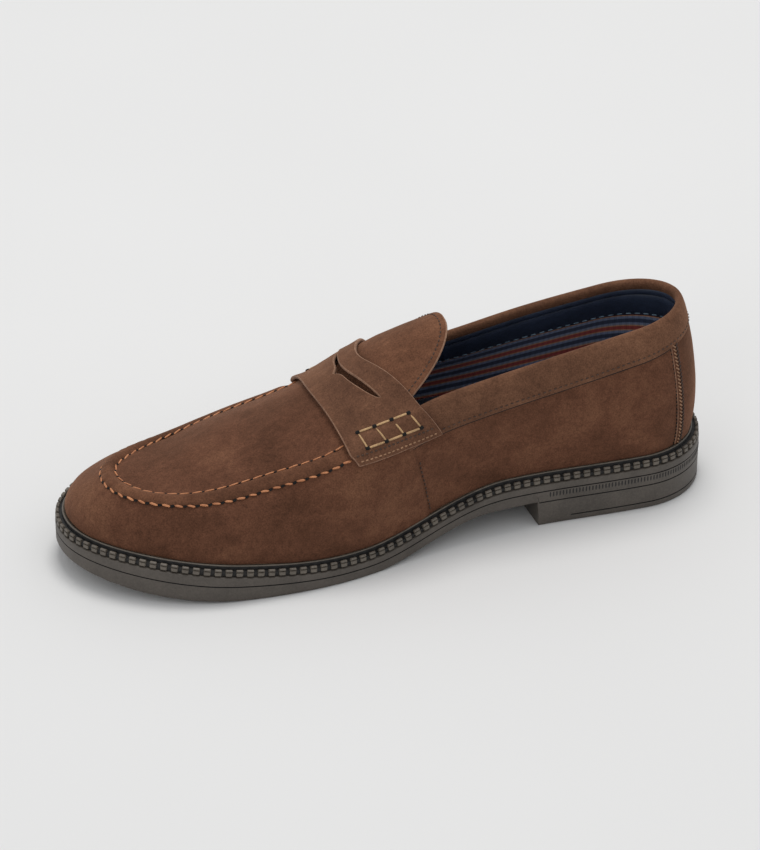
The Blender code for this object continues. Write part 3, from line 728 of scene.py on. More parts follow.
def seam_row(name, lines, pitch, size, finish, part=STITCH, lift=0.0, slant=0.0,
             uneven=0.0, start=0.0, closed=False):
    """One piece of parts along one or more lines; a line is (points, ways up), in millimetres.
    Without a pitch the parts stand at the given points."""
    mesh, spots, ways, joins = bpy.data.meshes.new(name), [], [], []
    for points, ups in lines:
        at, way = spaced(points, ups, pitch, start, closed) if pitch else (points, ups)
        first = len(spots)
        spots += list((at - (0, CENTRE_Y, 0)) * MM)
        ways += list(way)
        joins += [(i, i + 1) for i in range(first, len(spots) - 1)]
        if closed:
            joins.append((len(spots) - 1, first))
    mesh.from_pydata([tuple(p) for p in spots], joins, [])
    mesh.attributes.new("up", "FLOAT_VECTOR", "POINT").data.foreach_set(
        "vector", np.array(ways, np.float32).ravel())
    holder = bpy.data.objects.new(name + "_path", mesh)
    bpy.context.scene.collection.objects.link(holder)
    rule = holder.modifiers.new("seam", "NODES")
    rule.node_group = SEAM_TREE
    for label, value in (("Part", part), ("Size", tuple(k * MM for k in size)), ("Lift", lift * MM),
                         ("Slant", float(np.radians(slant))), ("Uneven", float(uneven)),
                         ("Finish", finish)):
        rule[SOCKETS[label]] = value
    shown = holder.evaluated_get(bpy.context.evaluated_depsgraph_get())
    made = bpy.data.meshes.new_from_object(shown)
    made.name = name
    bpy.data.objects.remove(holder, do_unlink=True)
    piece = bpy.data.objects.new(name, made)
    bpy.context.scene.collection.objects.link(piece)
    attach(piece, "root")
    print(f"{name}: {len(spots)} parts, {sum(len(p.vertices) - 2 for p in made.polygons)} triangles")
    return piece

# %% [markdown]
# ## The upper
# The upper is the big suede shell: side walls all round, closed over the toes by the apron. A filled block
# would look right from one side only, so it is a true sheet of 1.3 mm with the lining in its own sheet
# inside. Worn or lasted suede is never quite even. We list the main troughs and ridges as
# segments with a half width and a depth, and add a very soft unevenness. The side seam, where the front
# panel laps over the quarter, is a small step in the same relief.

# %% Relief of the suede
# face, start and end on it (top: x, y; walls: x, z), half width, depth; all in millimetres
CREASES = (
    ("top", (78, 22), (60, 2), 6.0, -0.55), ("top", (48, 27), (38, 6), 6.5, -0.40),
    ("top", (90, 8), (72, -10), 8.0, 0.30), ("top", (104, 2), (92, -20), 7.0, -0.30),
    ("top", (64, -6), (50, -26), 7.0, -0.35), ("top", (44, 4), (40, -20), 6.0, 0.25),
    ("inner", (74, 20), (52, 40), 7.5, -0.60), ("inner", (58, 18), (66, 32), 6.0, 0.35),
    ("inner", (40, 18), (33, 42), 6.0, -0.40), ("inner", (104, 28), (88, 22), 7.0, -0.30),
    ("inner", (-28, 32), (-62, 50), 12.0, -0.70), ("inner", (-14, 24), (-24, 44), 8.0, -0.35),
    ("inner", (-84, 38), (-98, 58), 10.0, -0.50), ("inner", (-70, 36), (-76, 58), 9.0, 0.35),
    ("outer", (66, 18), (46, 38), 8.0, -0.60), ("outer", (34, 20), (26, 38), 7.0, -0.40),
    ("outer", (-34, 30), (-64, 46), 12.0, -0.70), ("outer", (-88, 38), (-100, 56), 10.0, -0.45),
    ("outer", (92, 24), (80, 30), 7.0, 0.30),
)
SEAM_LOW, SEAM_HIGH = (-7.2, 19.4), (-0.7, 48.4)     # the side seam: x, z at its two ends
SEAM_STEP = 0.7


def segment_distance(p, a, b):
    a, b = np.array(a, float), np.array(b, float)
    t = np.clip(((p - a) @ (b - a)) / ((b - a) @ (b - a)), 0, 1)
    return np.linalg.norm(p - a - t[:, None] * (b - a), axis=1)


def suede_relief(place):
    x, y, z = place.T
    on_top = ease((apron_side(place) + 1.0) / 4.0)
    lift = np.zeros(len(place))
    for face, a, b, wide, deep in CREASES:
        across = place[:, :2] if face == "top" else place[:, [0, 2]]
        here = on_top if face == "top" else (1 - on_top) * ((y > 0) == (face == "inner"))
        lift += here * deep * np.exp(-(segment_distance(across, a, b) / wide) ** 2)
    for i, p in enumerate(place):
        lift[i] += 0.42 * noise.noise(Vector(p / 21)) + 0.13 * noise.noise(Vector(p / 7.5))
    front = x - (SEAM_LOW[0] + (z - SEAM_LOW[1]) * (SEAM_HIGH[0] - SEAM_LOW[0])
                 / (SEAM_HIGH[1] - SEAM_LOW[1]))
    lap = SEAM_STEP * ease((front + 0.3) / 0.6) * np.exp(-(np.clip(front, 0, None) / 22) ** 2)
    return lift + (1 - on_top) * lap


def soft_relief(broad, size, fine):
    """Relief of a small panel: broad swells of one size and fine ones of five millimetres."""
    return lambda place: np.array([broad * noise.noise(Vector(p / size))
                                   + fine * noise.noise(Vector(p / 5)) for p in place])


def apron_height(x, y):
    """z of the apron at a place in plan, and how far across it lies (0 inner edge, 1 outer)."""
    bow = np.clip(1 - (edge_line.toe - x) / edge_line.toe_r, 0, 1) ** (edge_line.toe_n / 2)
    u = np.where(x > edge_line.side_x(0), SIDE_TOE * np.arccos(bow) * 2 / np.pi, edge_line.where(x))
    inner, outer = wall_point(u, np.ones_like(u)), wall_point(1 - u, np.ones_like(u))
    w = (inner[..., 1] - y) / np.maximum(inner[..., 1] - outer[..., 1], 1e-6)
    z = inner[..., 2] * (1 - w) + outer[..., 2] * w
    return z + INSTEP_CROWN * along_last(CROWN_AT, CROWN, x) * (1 - (2 * w - 1) ** 2), w


def apron_side(place):
    """About how many millimetres inside the apron seam a point is; negative on the walls."""
    x, y = place[:, 0], place[:, 1]
    z, w = apron_height(np.clip(x, -60, edge_line.toe - 0.5), y)
    width = np.where((w > 0) & (w < 1) & (x < edge_line.toe), np.minimum(w, 1 - w) * 70, -5.0)
    return np.where(np.abs(z - place[:, 2]) < 3, width, -5.0)


# %% Cutting the upper
throat_u = float(edge_line.where(THROAT))
seam_u = [float(edge_line.where(x)) for x in (9.0, -17.0)]
half = np.unique(np.concatenate([
    np.linspace(0, SIDE_TOE, 84), np.linspace(SIDE_TOE, throat_u, 34),
    np.linspace(throat_u, seam_u[0], 12), np.linspace(*seam_u, 60),
    np.linspace(seam_u[1], SIDE_HEEL, 74), np.linspace(SIDE_HEEL, 0.5, 44)]).round(9))
around = np.concatenate([half, 1 - half[-2:0:-1]])
columns, throat_at = len(around), int(np.argmin(np.abs(half - throat_u)))
UP_ROWS, ACROSS, SUEDE_THICK = 42, 46, 1.3


def shell(around, columns, up_rows, across, throat_at):
    """Points and faces of the walls with the apron closed over the toes."""
    wall = wall_point(around[None, :], np.linspace(0, 1, up_rows)[:, None])
    points, faces = list(wall.reshape(-1, 3)), grid_faces(up_rows, columns, closed=True)
    edge = (up_rows - 1) * columns
    rows = [[edge]]
    for i in range(1, throat_at + 1):
        inner = top_point(around[i], np.linspace(0, 1, across + 1)[1:-1])
        rows.append([edge + i, *range(len(points), len(points) + len(inner)), edge + columns - i])
        points += list(inner)
    faces += [(rows[0][0], a, b) for a, b in zip(rows[1], rows[1][1:])]
    for before, after in zip(rows[1:], rows[2:]):
        faces += [(a, c, d, b) for a, b, c, d in zip(before, before[1:], after, after[1:])]
    return points, faces


points, faces = shell(around, columns, UP_ROWS, ACROSS, throat_at)
sheet_piece("upper_suede", points, faces, SUEDE_THICK, [SUEDE, CUT_EDGE_HIGHLIT, CUT_EDGE_HIGHLIT],
            ["upper"], relief=suede_relief)

# %% [markdown]
# ### Raised apron seam
# The apron is sewn to the walls with a rolled seam: leather folded over a cord and drawn tight at every
# stitch. A lens-shaped section is carried along the edge of the apron, a little lower at each stitch, and
# fades out under the strap. A copper stitch row runs along either side of it, the outer one with black
# spots of painted shade for the needle holes between its stitches.

# %% The roll
PITCH, ROLL_HIGH = 5.4, 1.9
roll_u = np.concatenate([np.linspace(throat_u - 0.003, 0, 330),
                         np.linspace(1, 1 - throat_u + 0.003, 330)[1:]])
ex, ey = edge_line.plan(roll_u)
ox, oy = edge_line.outward(roll_u)
roll_run = np.append(0, np.cumsum(np.hypot(np.diff(ex), np.diff(ey))))
FLAT_UNDER_STRAP, ROLL_RISES = 0.22, 31.0
fade = FLAT_UNDER_STRAP + (1 - FLAT_UNDER_STRAP) * ease((ex - ROLL_RISES) / 7.0)


def on_apron(d, h):
    """Line d mm inside the apron's edge and h mm above the apron."""
    x, y = ex - ox * d, ey - oy * d
    return np.stack([x, y, apron_height(x, y)[0] + h], -1)


pinch = 1 - 0.26 * (0.5 + 0.5 * np.cos(2 * np.pi * roll_run / PITCH)) ** 3
section = [off_wall(roll_u, 1.3, -0.35), off_wall(roll_u, 1.0, 0.30 * fade),
           off_wall(roll_u, 0.35, 1.05 * fade * pinch)]
for d, h in ((0.8, 0.86), (1.9, 1.0), (2.9, 0.95), (3.9, 0.72), (4.6, 0.40), (5.1, 0.06)):
    section.append(on_apron(d, ROLL_HIGH * h * fade * (pinch if d in (0.8, 4.6) else 1)))
section += [on_apron(5.4, -0.4), on_apron(3.0, -0.8)]
points, faces = swept(np.stack(section, 1))
solid_piece("apron_roll", points, faces, [SUEDE_TOP], sharp=75)

# %% Copper stitches, and black spots of painted shade at the needle holes
keep = slice(12, -12)
outer_line, outer_up = off_wall(roll_u, 1.15, 0.25)[keep], wall_normal(roll_u, 1.0)[keep]
inner_line = on_apron(5.45, 0.12)[keep]
inner_up = unit(np.stack([-ox * 0.25, -oy * 0.25, np.ones_like(ox)], -1))[keep]
seam_row("apron_stitches_outer", [(outer_line, outer_up)], PITCH, (3.7, 1.05, 0.85), THREAD_APRON,
         lift=0.12, slant=-13, uneven=0.07)
seam_row("apron_holes_outer", [(outer_line, outer_up)], PITCH, (1.9, 1.35, 0.9), SHADE_BLACK,
         lift=-0.02, slant=20, uneven=0.08, start=PITCH / 2)
seam_row("apron_stitches_inner", [(inner_line, inner_up)], PITCH, (4.5, 0.85, 0.8), THREAD_APRON,
         lift=0.10, slant=9, uneven=0.06, start=1.0)
seam_row("apron_holes_inner", [(inner_line, inner_up)], PITCH, (1.2, 1.1, 0.7), SHADE_BLACK,
         lift=-0.02, start=1.0 + PITCH / 2)

# %% [markdown]
# ### Tongue
# The tongue slips under the apron and ends in a wide round tip. Its outline is an arch in plan, its surface
# the same arch the apron follows, so it carries on the line of the instep.

# %% The tongue and its stitches
TIP, FRONT, MARGIN, TIP_POWER, TIP_NARROW = -26.5, 31.0, 0.055, 3.0, 0.30
stations = np.concatenate([np.linspace(FRONT, 0, 30), TIP * np.sin(np.linspace(0, np.pi / 2, 34)[1:-1])])
across = np.linspace(-1, 1, 61)


def tip_half(x, inset=0.0):
    """Half width of the tongue as a share of the opening."""
    share = np.clip(x / (TIP + inset), 0, 1)
    u = edge_line.where(x)
    width = np.linalg.norm(wall_point(u, 1.0) - wall_point(1 - u, 1.0), axis=-1)
    taper = (1 - TIP_NARROW * share) * (1 - share ** TIP_POWER) ** (1 / TIP_POWER)
    return (0.5 - MARGIN - inset / width) * taper


grid = np.array([top_point(edge_line.where(x), 0.5 + across * tip_half(x)) for x in stations]
                + [top_point(edge_line.where(TIP), 0.5 + across * 0.03)])
tilt = unit(np.cross(np.gradient(grid, axis=0), np.gradient(grid, axis=1)))
tilt *= np.sign(tilt[..., 2:3])
DIP, DIP_STARTS, DIP_LENGTH = 2.5, 16.0, 12.0
drop = DIP * ease((np.append(stations, TIP) - THROAT + DIP_STARTS) / DIP_LENGTH)
grid = grid - tilt * drop[:, None, None]


sheet_piece("tongue_suede", grid.reshape(-1, 3), grid_faces(*grid.shape[:2]), 1.8,
            [SUEDE_TOP, CUT_EDGE_HIGHLIT, NAVY], ["tongue"], relief=soft_relief(0.30, 16, 0.08),
            bulge=0.35)


def tongue_line(inset, back=12.0):
    """Line along the tongue's free edge, from side to side round the tip."""
    x = np.concatenate([np.linspace(back, 0, 12),
                        (TIP + inset) * np.sin(np.linspace(0, np.pi / 2, 60)[1:])])
    w = tip_half(x, inset)
    left = top_point(edge_line.where(x), 0.5 - w)
    right = top_point(edge_line.where(x), 0.5 + w)
    line = np.vstack([left, right[::-1][1:]])
    side = np.append(-w, w[::-1][1:]) * 2
    return line, unit(np.stack([0 * side, -side * 0.8, np.ones_like(side)], -1))


seam_row("tongue_stitches", [tongue_line(2.3)], 2.3, (1.5, 0.6, 0.5), THREAD_BROWN,
         lift=0.10, uneven=0.06)

# %% [markdown]
# ### Saddle strap
# One strip of suede lies across the instep, from wall to wall, with the coin slot that names the shoe. The
# slot is a real hole: two strips of grid share an edge outside it and part inside it. Its rear lip is
# straight and stands a millimetre proud; its front lip is an arc with a small notch at the ridge. Where it
# crosses the apron roll and the collar band the strap is lifted a little, so that it clears them.

# %% The strap
STRAP_THICK, SLOT_FROM, SLOT_TO, SLOT_REAR, SLOT_WIDE = 1.7, -0.36, 0.30, 0.70, 0.145
cross = np.unique(np.concatenate([np.linspace(-1, -0.5, 34), np.linspace(-0.5, 0.5, 98),
                                  np.linspace(0.5, 1, 34), [SLOT_FROM, SLOT_TO]]).round(6))


def strap_edge(three, t):
    end = np.where(np.asarray(t) < 0, three[0], three[2])
    far = np.interp(np.abs(t), (0, 0.5, 1), (0, OVER_TOP, 1))
    bow = np.hypot(far, RIDGE_ROUND) - RIDGE_ROUND
    return three[1] + (end - three[1]) * bow / (np.hypot(1, RIDGE_ROUND) - RIDGE_ROUND)


def strap_middle(t, share):
    return saddle_point(strap_edge(STRAP_FRONT, t) * (1 - share) + strap_edge(STRAP_BACK, t) * share, t)


def strap_lift(t, share):
    """Gap between the strap and the last surface: more over the roll and the collar."""
    roll = 0.35 * np.exp(-((np.abs(t) - 0.46) / 0.05) ** 2) * ease((0.5 - share) / 0.4)
    band = 0.95 * ease((np.abs(t) - 0.46) / 0.06) * ease((share - 0.55) / 0.3)
    hang = 0.75 * ease((0.16 - share) / 0.16) * ease((0.85 - np.abs(t)) / 0.3)
    return 0.4 + roll + band + hang


reach = np.clip((cross - SLOT_FROM) * (SLOT_TO - cross), 0, None)
lens = (reach / reach.max()) ** 0.45
HUMP, NOTCH = (0.28, 0.10), (0.75, 0.035)            # strength and half width, at the ridge
scallop = (1 - HUMP[0] * np.exp(-(cross / HUMP[1]) ** 2)
           + NOTCH[0] * np.exp(-np.abs(cross / NOTCH[1]) ** 1.5))
rear_lip = np.full(len(cross), SLOT_REAR)
front_lip = rear_lip - SLOT_WIDE * lens * scallop
panels = []
FRONT_ROWS, REAR_ROWS, LIP_LIFT = 17, 12, 1.0
for low, high, count in ((0 * cross, front_lip, FRONT_ROWS), (rear_lip, 0 * cross + 1, REAR_ROWS)):
    steps = [low + (high - low) * k / count for k in range(count + 1)]
    flat = strap_middle(cross[None, :], np.array(steps))
    up = unit(np.cross(np.gradient(flat, axis=0), np.gradient(flat, axis=1)))
    up *= np.sign((up * (flat * (0, 1, 1) - (0, 0, 30))).sum(-1, keepdims=True))
    rise = np.array([strap_lift(cross, s) for s in steps])
    if count == REAR_ROWS:
        rise += LIP_LIFT * lens * np.clip(1 - np.arange(count + 1) / 5, 0, None)[:, None]
    panels.append([flat, up, rise])
closed_lens = reach <= 0
mean = unit(panels[0][1][-1] + panels[1][1][0])
panels[0][1][-1][closed_lens] = panels[1][1][0][closed_lens] = mean[closed_lens]
points, faces = [], []
for flat, up, rise in panels:
    start = len(points)
    points += list((flat + up * (rise + STRAP_THICK)[..., None]).reshape(-1, 3))
    faces += grid_faces(*flat.shape[:2], start)


sheet_piece("strap_suede", points, faces, STRAP_THICK, [SUEDE_STRAP, CUT_EDGE_HIGHLIT, CUT_EDGE_HIGHLIT],
            ["strap"], relief=soft_relief(0.22, 14, 0.07), bulge=0.3)


# %% [markdown]
# The strap is held at each end by three hand-made boxes of sand thread, each corner's needle hole a
# black spot of painted shade, and by two fine rows along its cut end. All of them are drawn on the strap's
# own surface.

# %% Stitches of the strap
def strap_spot(t, share):
    """Point on top of the strap and the way up there."""
    p = strap_middle(t, share)
    a = strap_middle(t + 0.01, share) - strap_middle(t - 0.01, share)
    b = strap_middle(t, share + 0.01) - strap_middle(t, share - 0.01)
    up = unit(np.cross(a, b))
    up *= np.sign((up * (p * (0, 1, 1) - (0, 0, 30))).sum(-1, keepdims=True))
    return p + up * (strap_lift(t, share) + STRAP_THICK)[..., None], up


def strap_line(start, end, count=14):
    k = np.linspace(0, 1, count)
    return strap_spot(start[0] * (1 - k) + end[0] * k, start[1] * (1 - k) + end[1] * k)


def from_end(side, share, far):
    """How far across the strap a place lies that is so many millimetres from its cut end."""
    t = side * np.linspace(1, 0.3, 57)
    line = strap_middle(t, share)
    run = np.append(0, np.cumsum(np.linalg.norm(np.diff(line, axis=0), axis=1)))
    return float(np.interp(far, run, t * side)) * side


BOX_LOW, BOX_HIGH, BOX_SHARES = 6.6, 14.2, (0.20, 0.41, 0.62, 0.83)
ROW_TAN, ROW_DARK = 1.5, 4.3
box_long, box_short, corners, fine_dark, fine_tan = [], [], [], [], []
for side in (-1, 1):
    knots = [[(from_end(side, share, far), share) for share in BOX_SHARES] for far in (BOX_LOW, BOX_HIGH)]
    for row in knots:
        box_long += [strap_line(a, b, 8) for a, b in zip(row, row[1:])]
        corners.append(strap_spot(*np.array(row).T))
    box_short += [strap_line(a, b, 8) for a, b in zip(*knots)]
    for far, rows in ((ROW_DARK, fine_dark), (ROW_TAN, fine_tan)):
        shares = np.linspace(0.05, 0.955, 12)
        rows.append(strap_spot(np.array([from_end(side, share, far) for share in shares]), shares))


def bars(name, lines, width, height, finish, lift=0.1):
    """Thread laid over the surface along each line: a thin closed tube, tapered where it dives in."""
    points, faces = [], []
    for line, up in lines:
        taut = line[-1] - line[0]
        aside = unit(np.cross(taut, up.mean(axis=0)))
        line = line - ((line - line[0]) @ aside)[:, None] * aside
        run = unit(np.gradient(line, axis=0))
        side = unit(np.cross(run, up))
        k = np.linspace(-1, 1, len(line))
        fat = np.clip(1 - np.abs(k) ** 6, 0.15, 1)
        rise = lift * (1 - k ** 4) - 0.25 * k ** 8
        rings = [line + up * (rise + height * fat * np.cos(a) / 2)[:, None]
                 + side * (width * fat * np.sin(a) / 2)[:, None] for a in turns]
        grid = np.stack(rings, 1)
        more, lids = swept(grid)
        faces += [tuple(i + len(points) for i in f) for f in lids]
        points += list(more)
    return solid_piece(name, points, faces, [finish], sharp=80)


bars("strap_box_long", box_long, 1.0, 0.8, THREAD_BOX)
bars("strap_box_short", box_short, 0.85, 0.7, THREAD_BOX, 0.05)
# black spots at the box corners: painted shade of the needle holes
seam_row("strap_corner_holes", corners, None, (2.0, 1.7, 1.1), SHADE_BLACK, lift=0.12)
for name, rows, size, finish in (("strap_end_stitches", fine_tan, (1.35, 0.7, 0.55), THREAD_TAN),
                                 ("strap_inner_stitches", fine_dark, (1.3, 0.7, 0.55), THREAD_BROWN)):
    seam_row(name, rows, 2.1, size, finish, lift=0.16, uneven=0.05)

# %% [markdown]
# ### Collar band, back strip and side seams
# The opening is bound with a folded suede band: it shows about fourteen millimetres outside, turns
# over the topline and ends just inside. At the heel a back strip covers the joint of the two quarters; its
# front edges are closed with a narrow braid of slanting stitches. Both are separate pieces that lie half a
# millimetre proud of the shell, so light finds their edges as it does on the real shoe.

# %% The band
BAND_DEEP, BAND_STARTS = 14.0, 3.0
first_u, last_u = float(edge_line.where(BAND_STARTS)), 1 - float(edge_line.where(BAND_STARTS))
band_u = np.concatenate([np.linspace(first_u, SIDE_HEEL, 120),
                         np.linspace(SIDE_HEEL, 1 - SIDE_HEEL, 130)[1:],
                         np.linspace(1 - SIDE_HEEL, last_u, 120)[1:]])
heel_share = np.exp(-((np.minimum(band_u, 1 - band_u) - 0.5) / 0.09) ** 2)
deep = BAND_DEEP + 1.2 - 3.0 * heel_share
BAND = ((1.0, 0.10), (1.0, 0.50), (0.975, 0.78), (0.82, 1.0), (0.58, 1.12), (0.34, 1.12), (0.17, 1.02),
        (0.07, 0.90), (0.0, 0.62), (-0.05, 0.12), (-0.07, -0.6), (-0.065, -1.4), (-0.03, -2.2),
        (0.04, -2.75), (0.13, -2.95), (0.22, -2.9), (0.25, -2.6), (0.24, -2.25), (0.08, -2.2),
        (-0.01, -1.9), (-0.015, -0.1), (0.04, 0.08), (0.35, 0.05), (0.7, 0.05))
wave = np.array([noise.noise(Vector(p / 16)) for p in wall_point(band_u, 1.0)])
section = [off_wall(band_u, s * (deep if 0.2 < s and h > 0 else BAND_DEEP),
                    h + (0.16 * wave if 0 < s < 0.9 and h > 0.6 else 0)) for s, h in BAND]
points, faces = swept(np.stack(section, 1))
solid_piece("collar_band", points, faces, [SUEDE_BAND], sharp=75)
sewn = deep - 2.2
line = off_wall(band_u, sewn, 1.14), wall_normal(band_u, below(band_u, sewn))
seam_row("collar_stitches", [line], 2.6, (1.4, 0.5, 0.4), THREAD_BROWN, lift=0.05, uneven=0.05)
# a thin black tube along the band's lower edge: painted shadow of the band's edge on the quarter
ring = [off_wall(band_u, deep + 0.15 + 0.36 * np.cos(a), 0.15 + 0.28 * np.sin(a)) for a in turns]
points, faces = swept(np.stack(ring, 1))
solid_piece("collar_seam", points, faces, [SHADE_BLACK], sharp=80)

# %% The back strip and its braid
BACK_U, BACK_TOP, BRAID_HIGH, BRAID_PITCH = 0.433, 11.0, 0.84, 1.75
AROUND_HEEL = 560.0                 # millimetres of topline per unit of u, about, for the braid
back_u = np.linspace(BACK_U, 1 - BACK_U, 84)
back_top = below(back_u, np.full(84, BACK_TOP))
rows = np.linspace(0.012, 1, 44)
grid = wall_point(back_u[None, :], back_top[None, :] * rows[:, None])


sheet_piece("back_strip", grid.reshape(-1, 3), grid_faces(*grid.shape[:2]), 0.75,
            [SUEDE, CUT_EDGE_HIGHLIT, CUT_EDGE_HIGHLIT], relief=soft_relief(0.12, 14, 0.05), shift=0.62,
            bulge=0.3)
climb = np.linspace(0.03, 0.99, 60)
braid = {1: [], -1: [], 0: []}
for u0, sign in ((BACK_U, 1), (1 - BACK_U, -1)):
    for mm, way in ((-0.5, 0), (1.5, sign), (3.2, -sign)):
        u = np.full(60, u0 + sign * mm / AROUND_HEEL)
        v = climb * below(u, np.full(60, BACK_TOP + 1.5))
        up = wall_normal(u, v)
        braid[way].append((wall_point(u, v) + up * (0.1 if mm < 0 else BRAID_HIGH), up))
for name, way, finish in (("back_braid_up", 1, THREAD_TAN), ("back_braid_down", -1, THREAD_BROWN)):
    seam_row(name, braid[way], BRAID_PITCH, (2.5, 0.7, 0.6), finish, slant=48 * way,
             uneven=0.05)
# black spots of painted shade at the needle holes along the strip's front edges
seam_row("back_seam_holes", braid[0], BRAID_PITCH, (0.9, 0.6, 0.5), SHADE_BLACK)

# %% Side seams
lines = []
for side in (1, -1):
    z = np.linspace(SEAM_LOW[1] + 1, SEAM_HIGH[1] - 0.5, 40)
    x = SEAM_LOW[0] + (z - SEAM_LOW[1]) * (SEAM_HIGH[0] - SEAM_LOW[0]) / (SEAM_HIGH[1] - SEAM_LOW[1])
    us, vs = np.linspace(*seam_u, 40), np.linspace(0, 1, 60)
    net = wall_point((us if side > 0 else 1 - us)[:, None], vs[None, :]).reshape(-1, 3)
    spots, ups = [], []
    for xi, zi in zip(x, z):
        best = int(np.argmin(np.hypot(net[:, 0] - xi + 1.1, net[:, 2] - zi)))
        u, v = us[best // 60] if side > 0 else 1 - us[best // 60], vs[best % 60]
        spots.append(wall_point(u, v))
        ups.append(wall_normal(u, v))
    spots, ups = np.array(spots), np.array(ups)
    soft = np.array([1, 2, 3, 2, 1]) / 9
    spots = np.stack([np.convolve(np.pad(spots[:, k], 2, "edge"), soft, "valid") for k in range(3)], -1)
    lines.append((spots + ups * 0.1, ups))
seam_row("side_seam_stitches", lines, 2.3, (1.5, 0.65, 0.55), THREAD_BROWN, lift=0.16,
         uneven=0.05)

# %% [markdown]
# ## The lining
# Inside, the heel and quarters are lined with striped cloth, and a smooth navy leather collar runs round
# the top with a pale blue stitch along its lower edge. Both are thin sheets of their own set just inside
# the suede, so the shoe stays as hollow as the real one.

# %% Striped cloth, walls and roof
coarse = np.unique(np.concatenate([np.linspace(0, SIDE_TOE, 44), np.linspace(SIDE_TOE, throat_u, 18),
                                   np.linspace(throat_u, SIDE_HEEL, 70),
                                   np.linspace(SIDE_HEEL, 0.5, 30)]).round(9))
inside = np.concatenate([coarse, 1 - coarse[-2:0:-1]])
at_throat = int(np.argmin(np.abs(coarse - throat_u)))
LINING_ROWS = 26
points, faces = shell(inside, len(inside), LINING_ROWS, LINING_ROWS, at_throat)
round_run = np.append(0, np.cumsum(np.linalg.norm(np.diff(wall_point(inside, 1.0), axis=0), axis=1)))
wall_grid = wall_point(inside[None, :], np.linspace(0, 1, LINING_ROWS)[:, None])
length = np.linalg.norm(np.diff(wall_grid, axis=0), axis=-1)
drop = np.vstack([np.cumsum(length[::-1], axis=0)[::-1], np.zeros(len(inside))])
uv = [(round_run[c] / REPEAT, drop[r, c] / REPEAT) for r in range(LINING_ROWS)
      for c in range(len(inside))]
uv += [(p[0] / REPEAT, p[1] / REPEAT) for p in points[len(uv):]]
sheet_piece("lining_cloth", points, faces, 0.5, [CLOTH, CLOTH, CLOTH], shift=-1.45, uv=uv)

# %% Navy collar lining
LINING = ((3.0, -2.1), (3.2, -2.75), (5.0, -3.05), (6.4, -2.95), (6.9, -2.55), (7.4, -2.95), (9.5, -3.25),
          (13.0, -3.35), (16.5, -3.1), (19.0, -2.75), (19.9, -2.45), (19.9, -2.1), (12.0, -2.02))
section = [off_wall(band_u, s, h) for s, h in LINING]
points, faces = swept(np.stack(section, 1))
solid_piece("collar_lining", points, faces, [NAVY], sharp=75)
stitch_v = below(band_u, np.full(len(band_u), 18.6))
line = wall_point(band_u, stitch_v) - wall_normal(band_u, stitch_v) * 2.85
seam_row("lining_stitches", [(line, -wall_normal(band_u, stitch_v))], 4.1, (2.6, 0.65, 0.5), THREAD_BLUE,
         lift=0.05, uneven=0.04)
v = np.linspace(0.08, 0.68, 50)
half_way = np.full(50, 0.5)
line = wall_point(half_way, v) - wall_normal(half_way, v) * 2.0
seam_row("lining_heel_seam", [(line, -wall_normal(half_way, v))], 2.6, (1.9, 0.5, 0.45), THREAD_BROWN)

# %% [markdown]
# ### Sock
# The foot rests on a cushioned sock: foam under a plain navy cover. The real one carries a printed mark;
# ours stays plain. It is a closed pad, dished towards the middle and rounded at its edge.

# %% The sock
SOCK_INSET = WELT_REACH + 2.0 + 2 * GAP + FACET
ring_u = np.linspace(0, 1, 221)[:-1]


def sole_ring(inset, height, places=ring_u):
    x, y = sole_outline(inset).plan(places)
    return np.stack([x, y, height(x)], -1)


rim = sole_ring(SOCK_INSET, seat)
spine = np.stack([np.clip(rim[:, 0], -118, 112), 0.035 * np.clip(rim[:, 0], 0, None), rim[:, 2]], -1)
# share of the way out from the spine and height over the seat: underside, rim, crowned top
PAD = ((0.02, 0.4), (0.55, 0.4), (1.0, 0.4), (1.0, 2.4), (0.985, 3.0), (0.95, 3.3), (0.88, 3.25),
       (0.75, 2.9), (0.55, 2.6), (0.3, 2.5), (0.02, 2.45))
loops = []
for share, up in PAD:
    loop = spine + (rim - spine) * share
    loop[:, 2] = seat(loop[:, 0]) + up
    loops.append(loop)
grid = np.stack(loops, 0)
points, faces = swept(grid)
sock = solid_piece("sock_pad", points, faces, [SOCK], ["insole"], sharp=60)

# %% [markdown]
# ## Welt and sole
# The welt is a strip of rubber that sticks out round the shoe. Next to the suede runs a thin pale bead,
# then a channel, then a row of teeth that wrap over the edge like the marks of a stitching wheel.
# Body and teeth are separate: the body is near black, painted shade that shows in the channel and the gaps.

# %% Body of the welt and its teeth
WELT = ((WELT_REACH + WELT_TUCK, -3.5), (1.1, -3.5), (0.95, -3.3), (0.95, -1.7), (1.4, -1.7), (3.1, -1.5),
        (3.15, 0.3), (3.3, 0.55), (3.6, 0.65), (3.95, 0.55), (4.3, 0.1), (WELT_REACH + WELT_TUCK, 0.0))
fine_u = np.linspace(0, 1, 641)[:-1]
section = np.stack([sole_ring(inset, lambda x, z=z: seat(x) + z, fine_u) for inset, z in WELT])
points, faces = swept(section, ring=True)
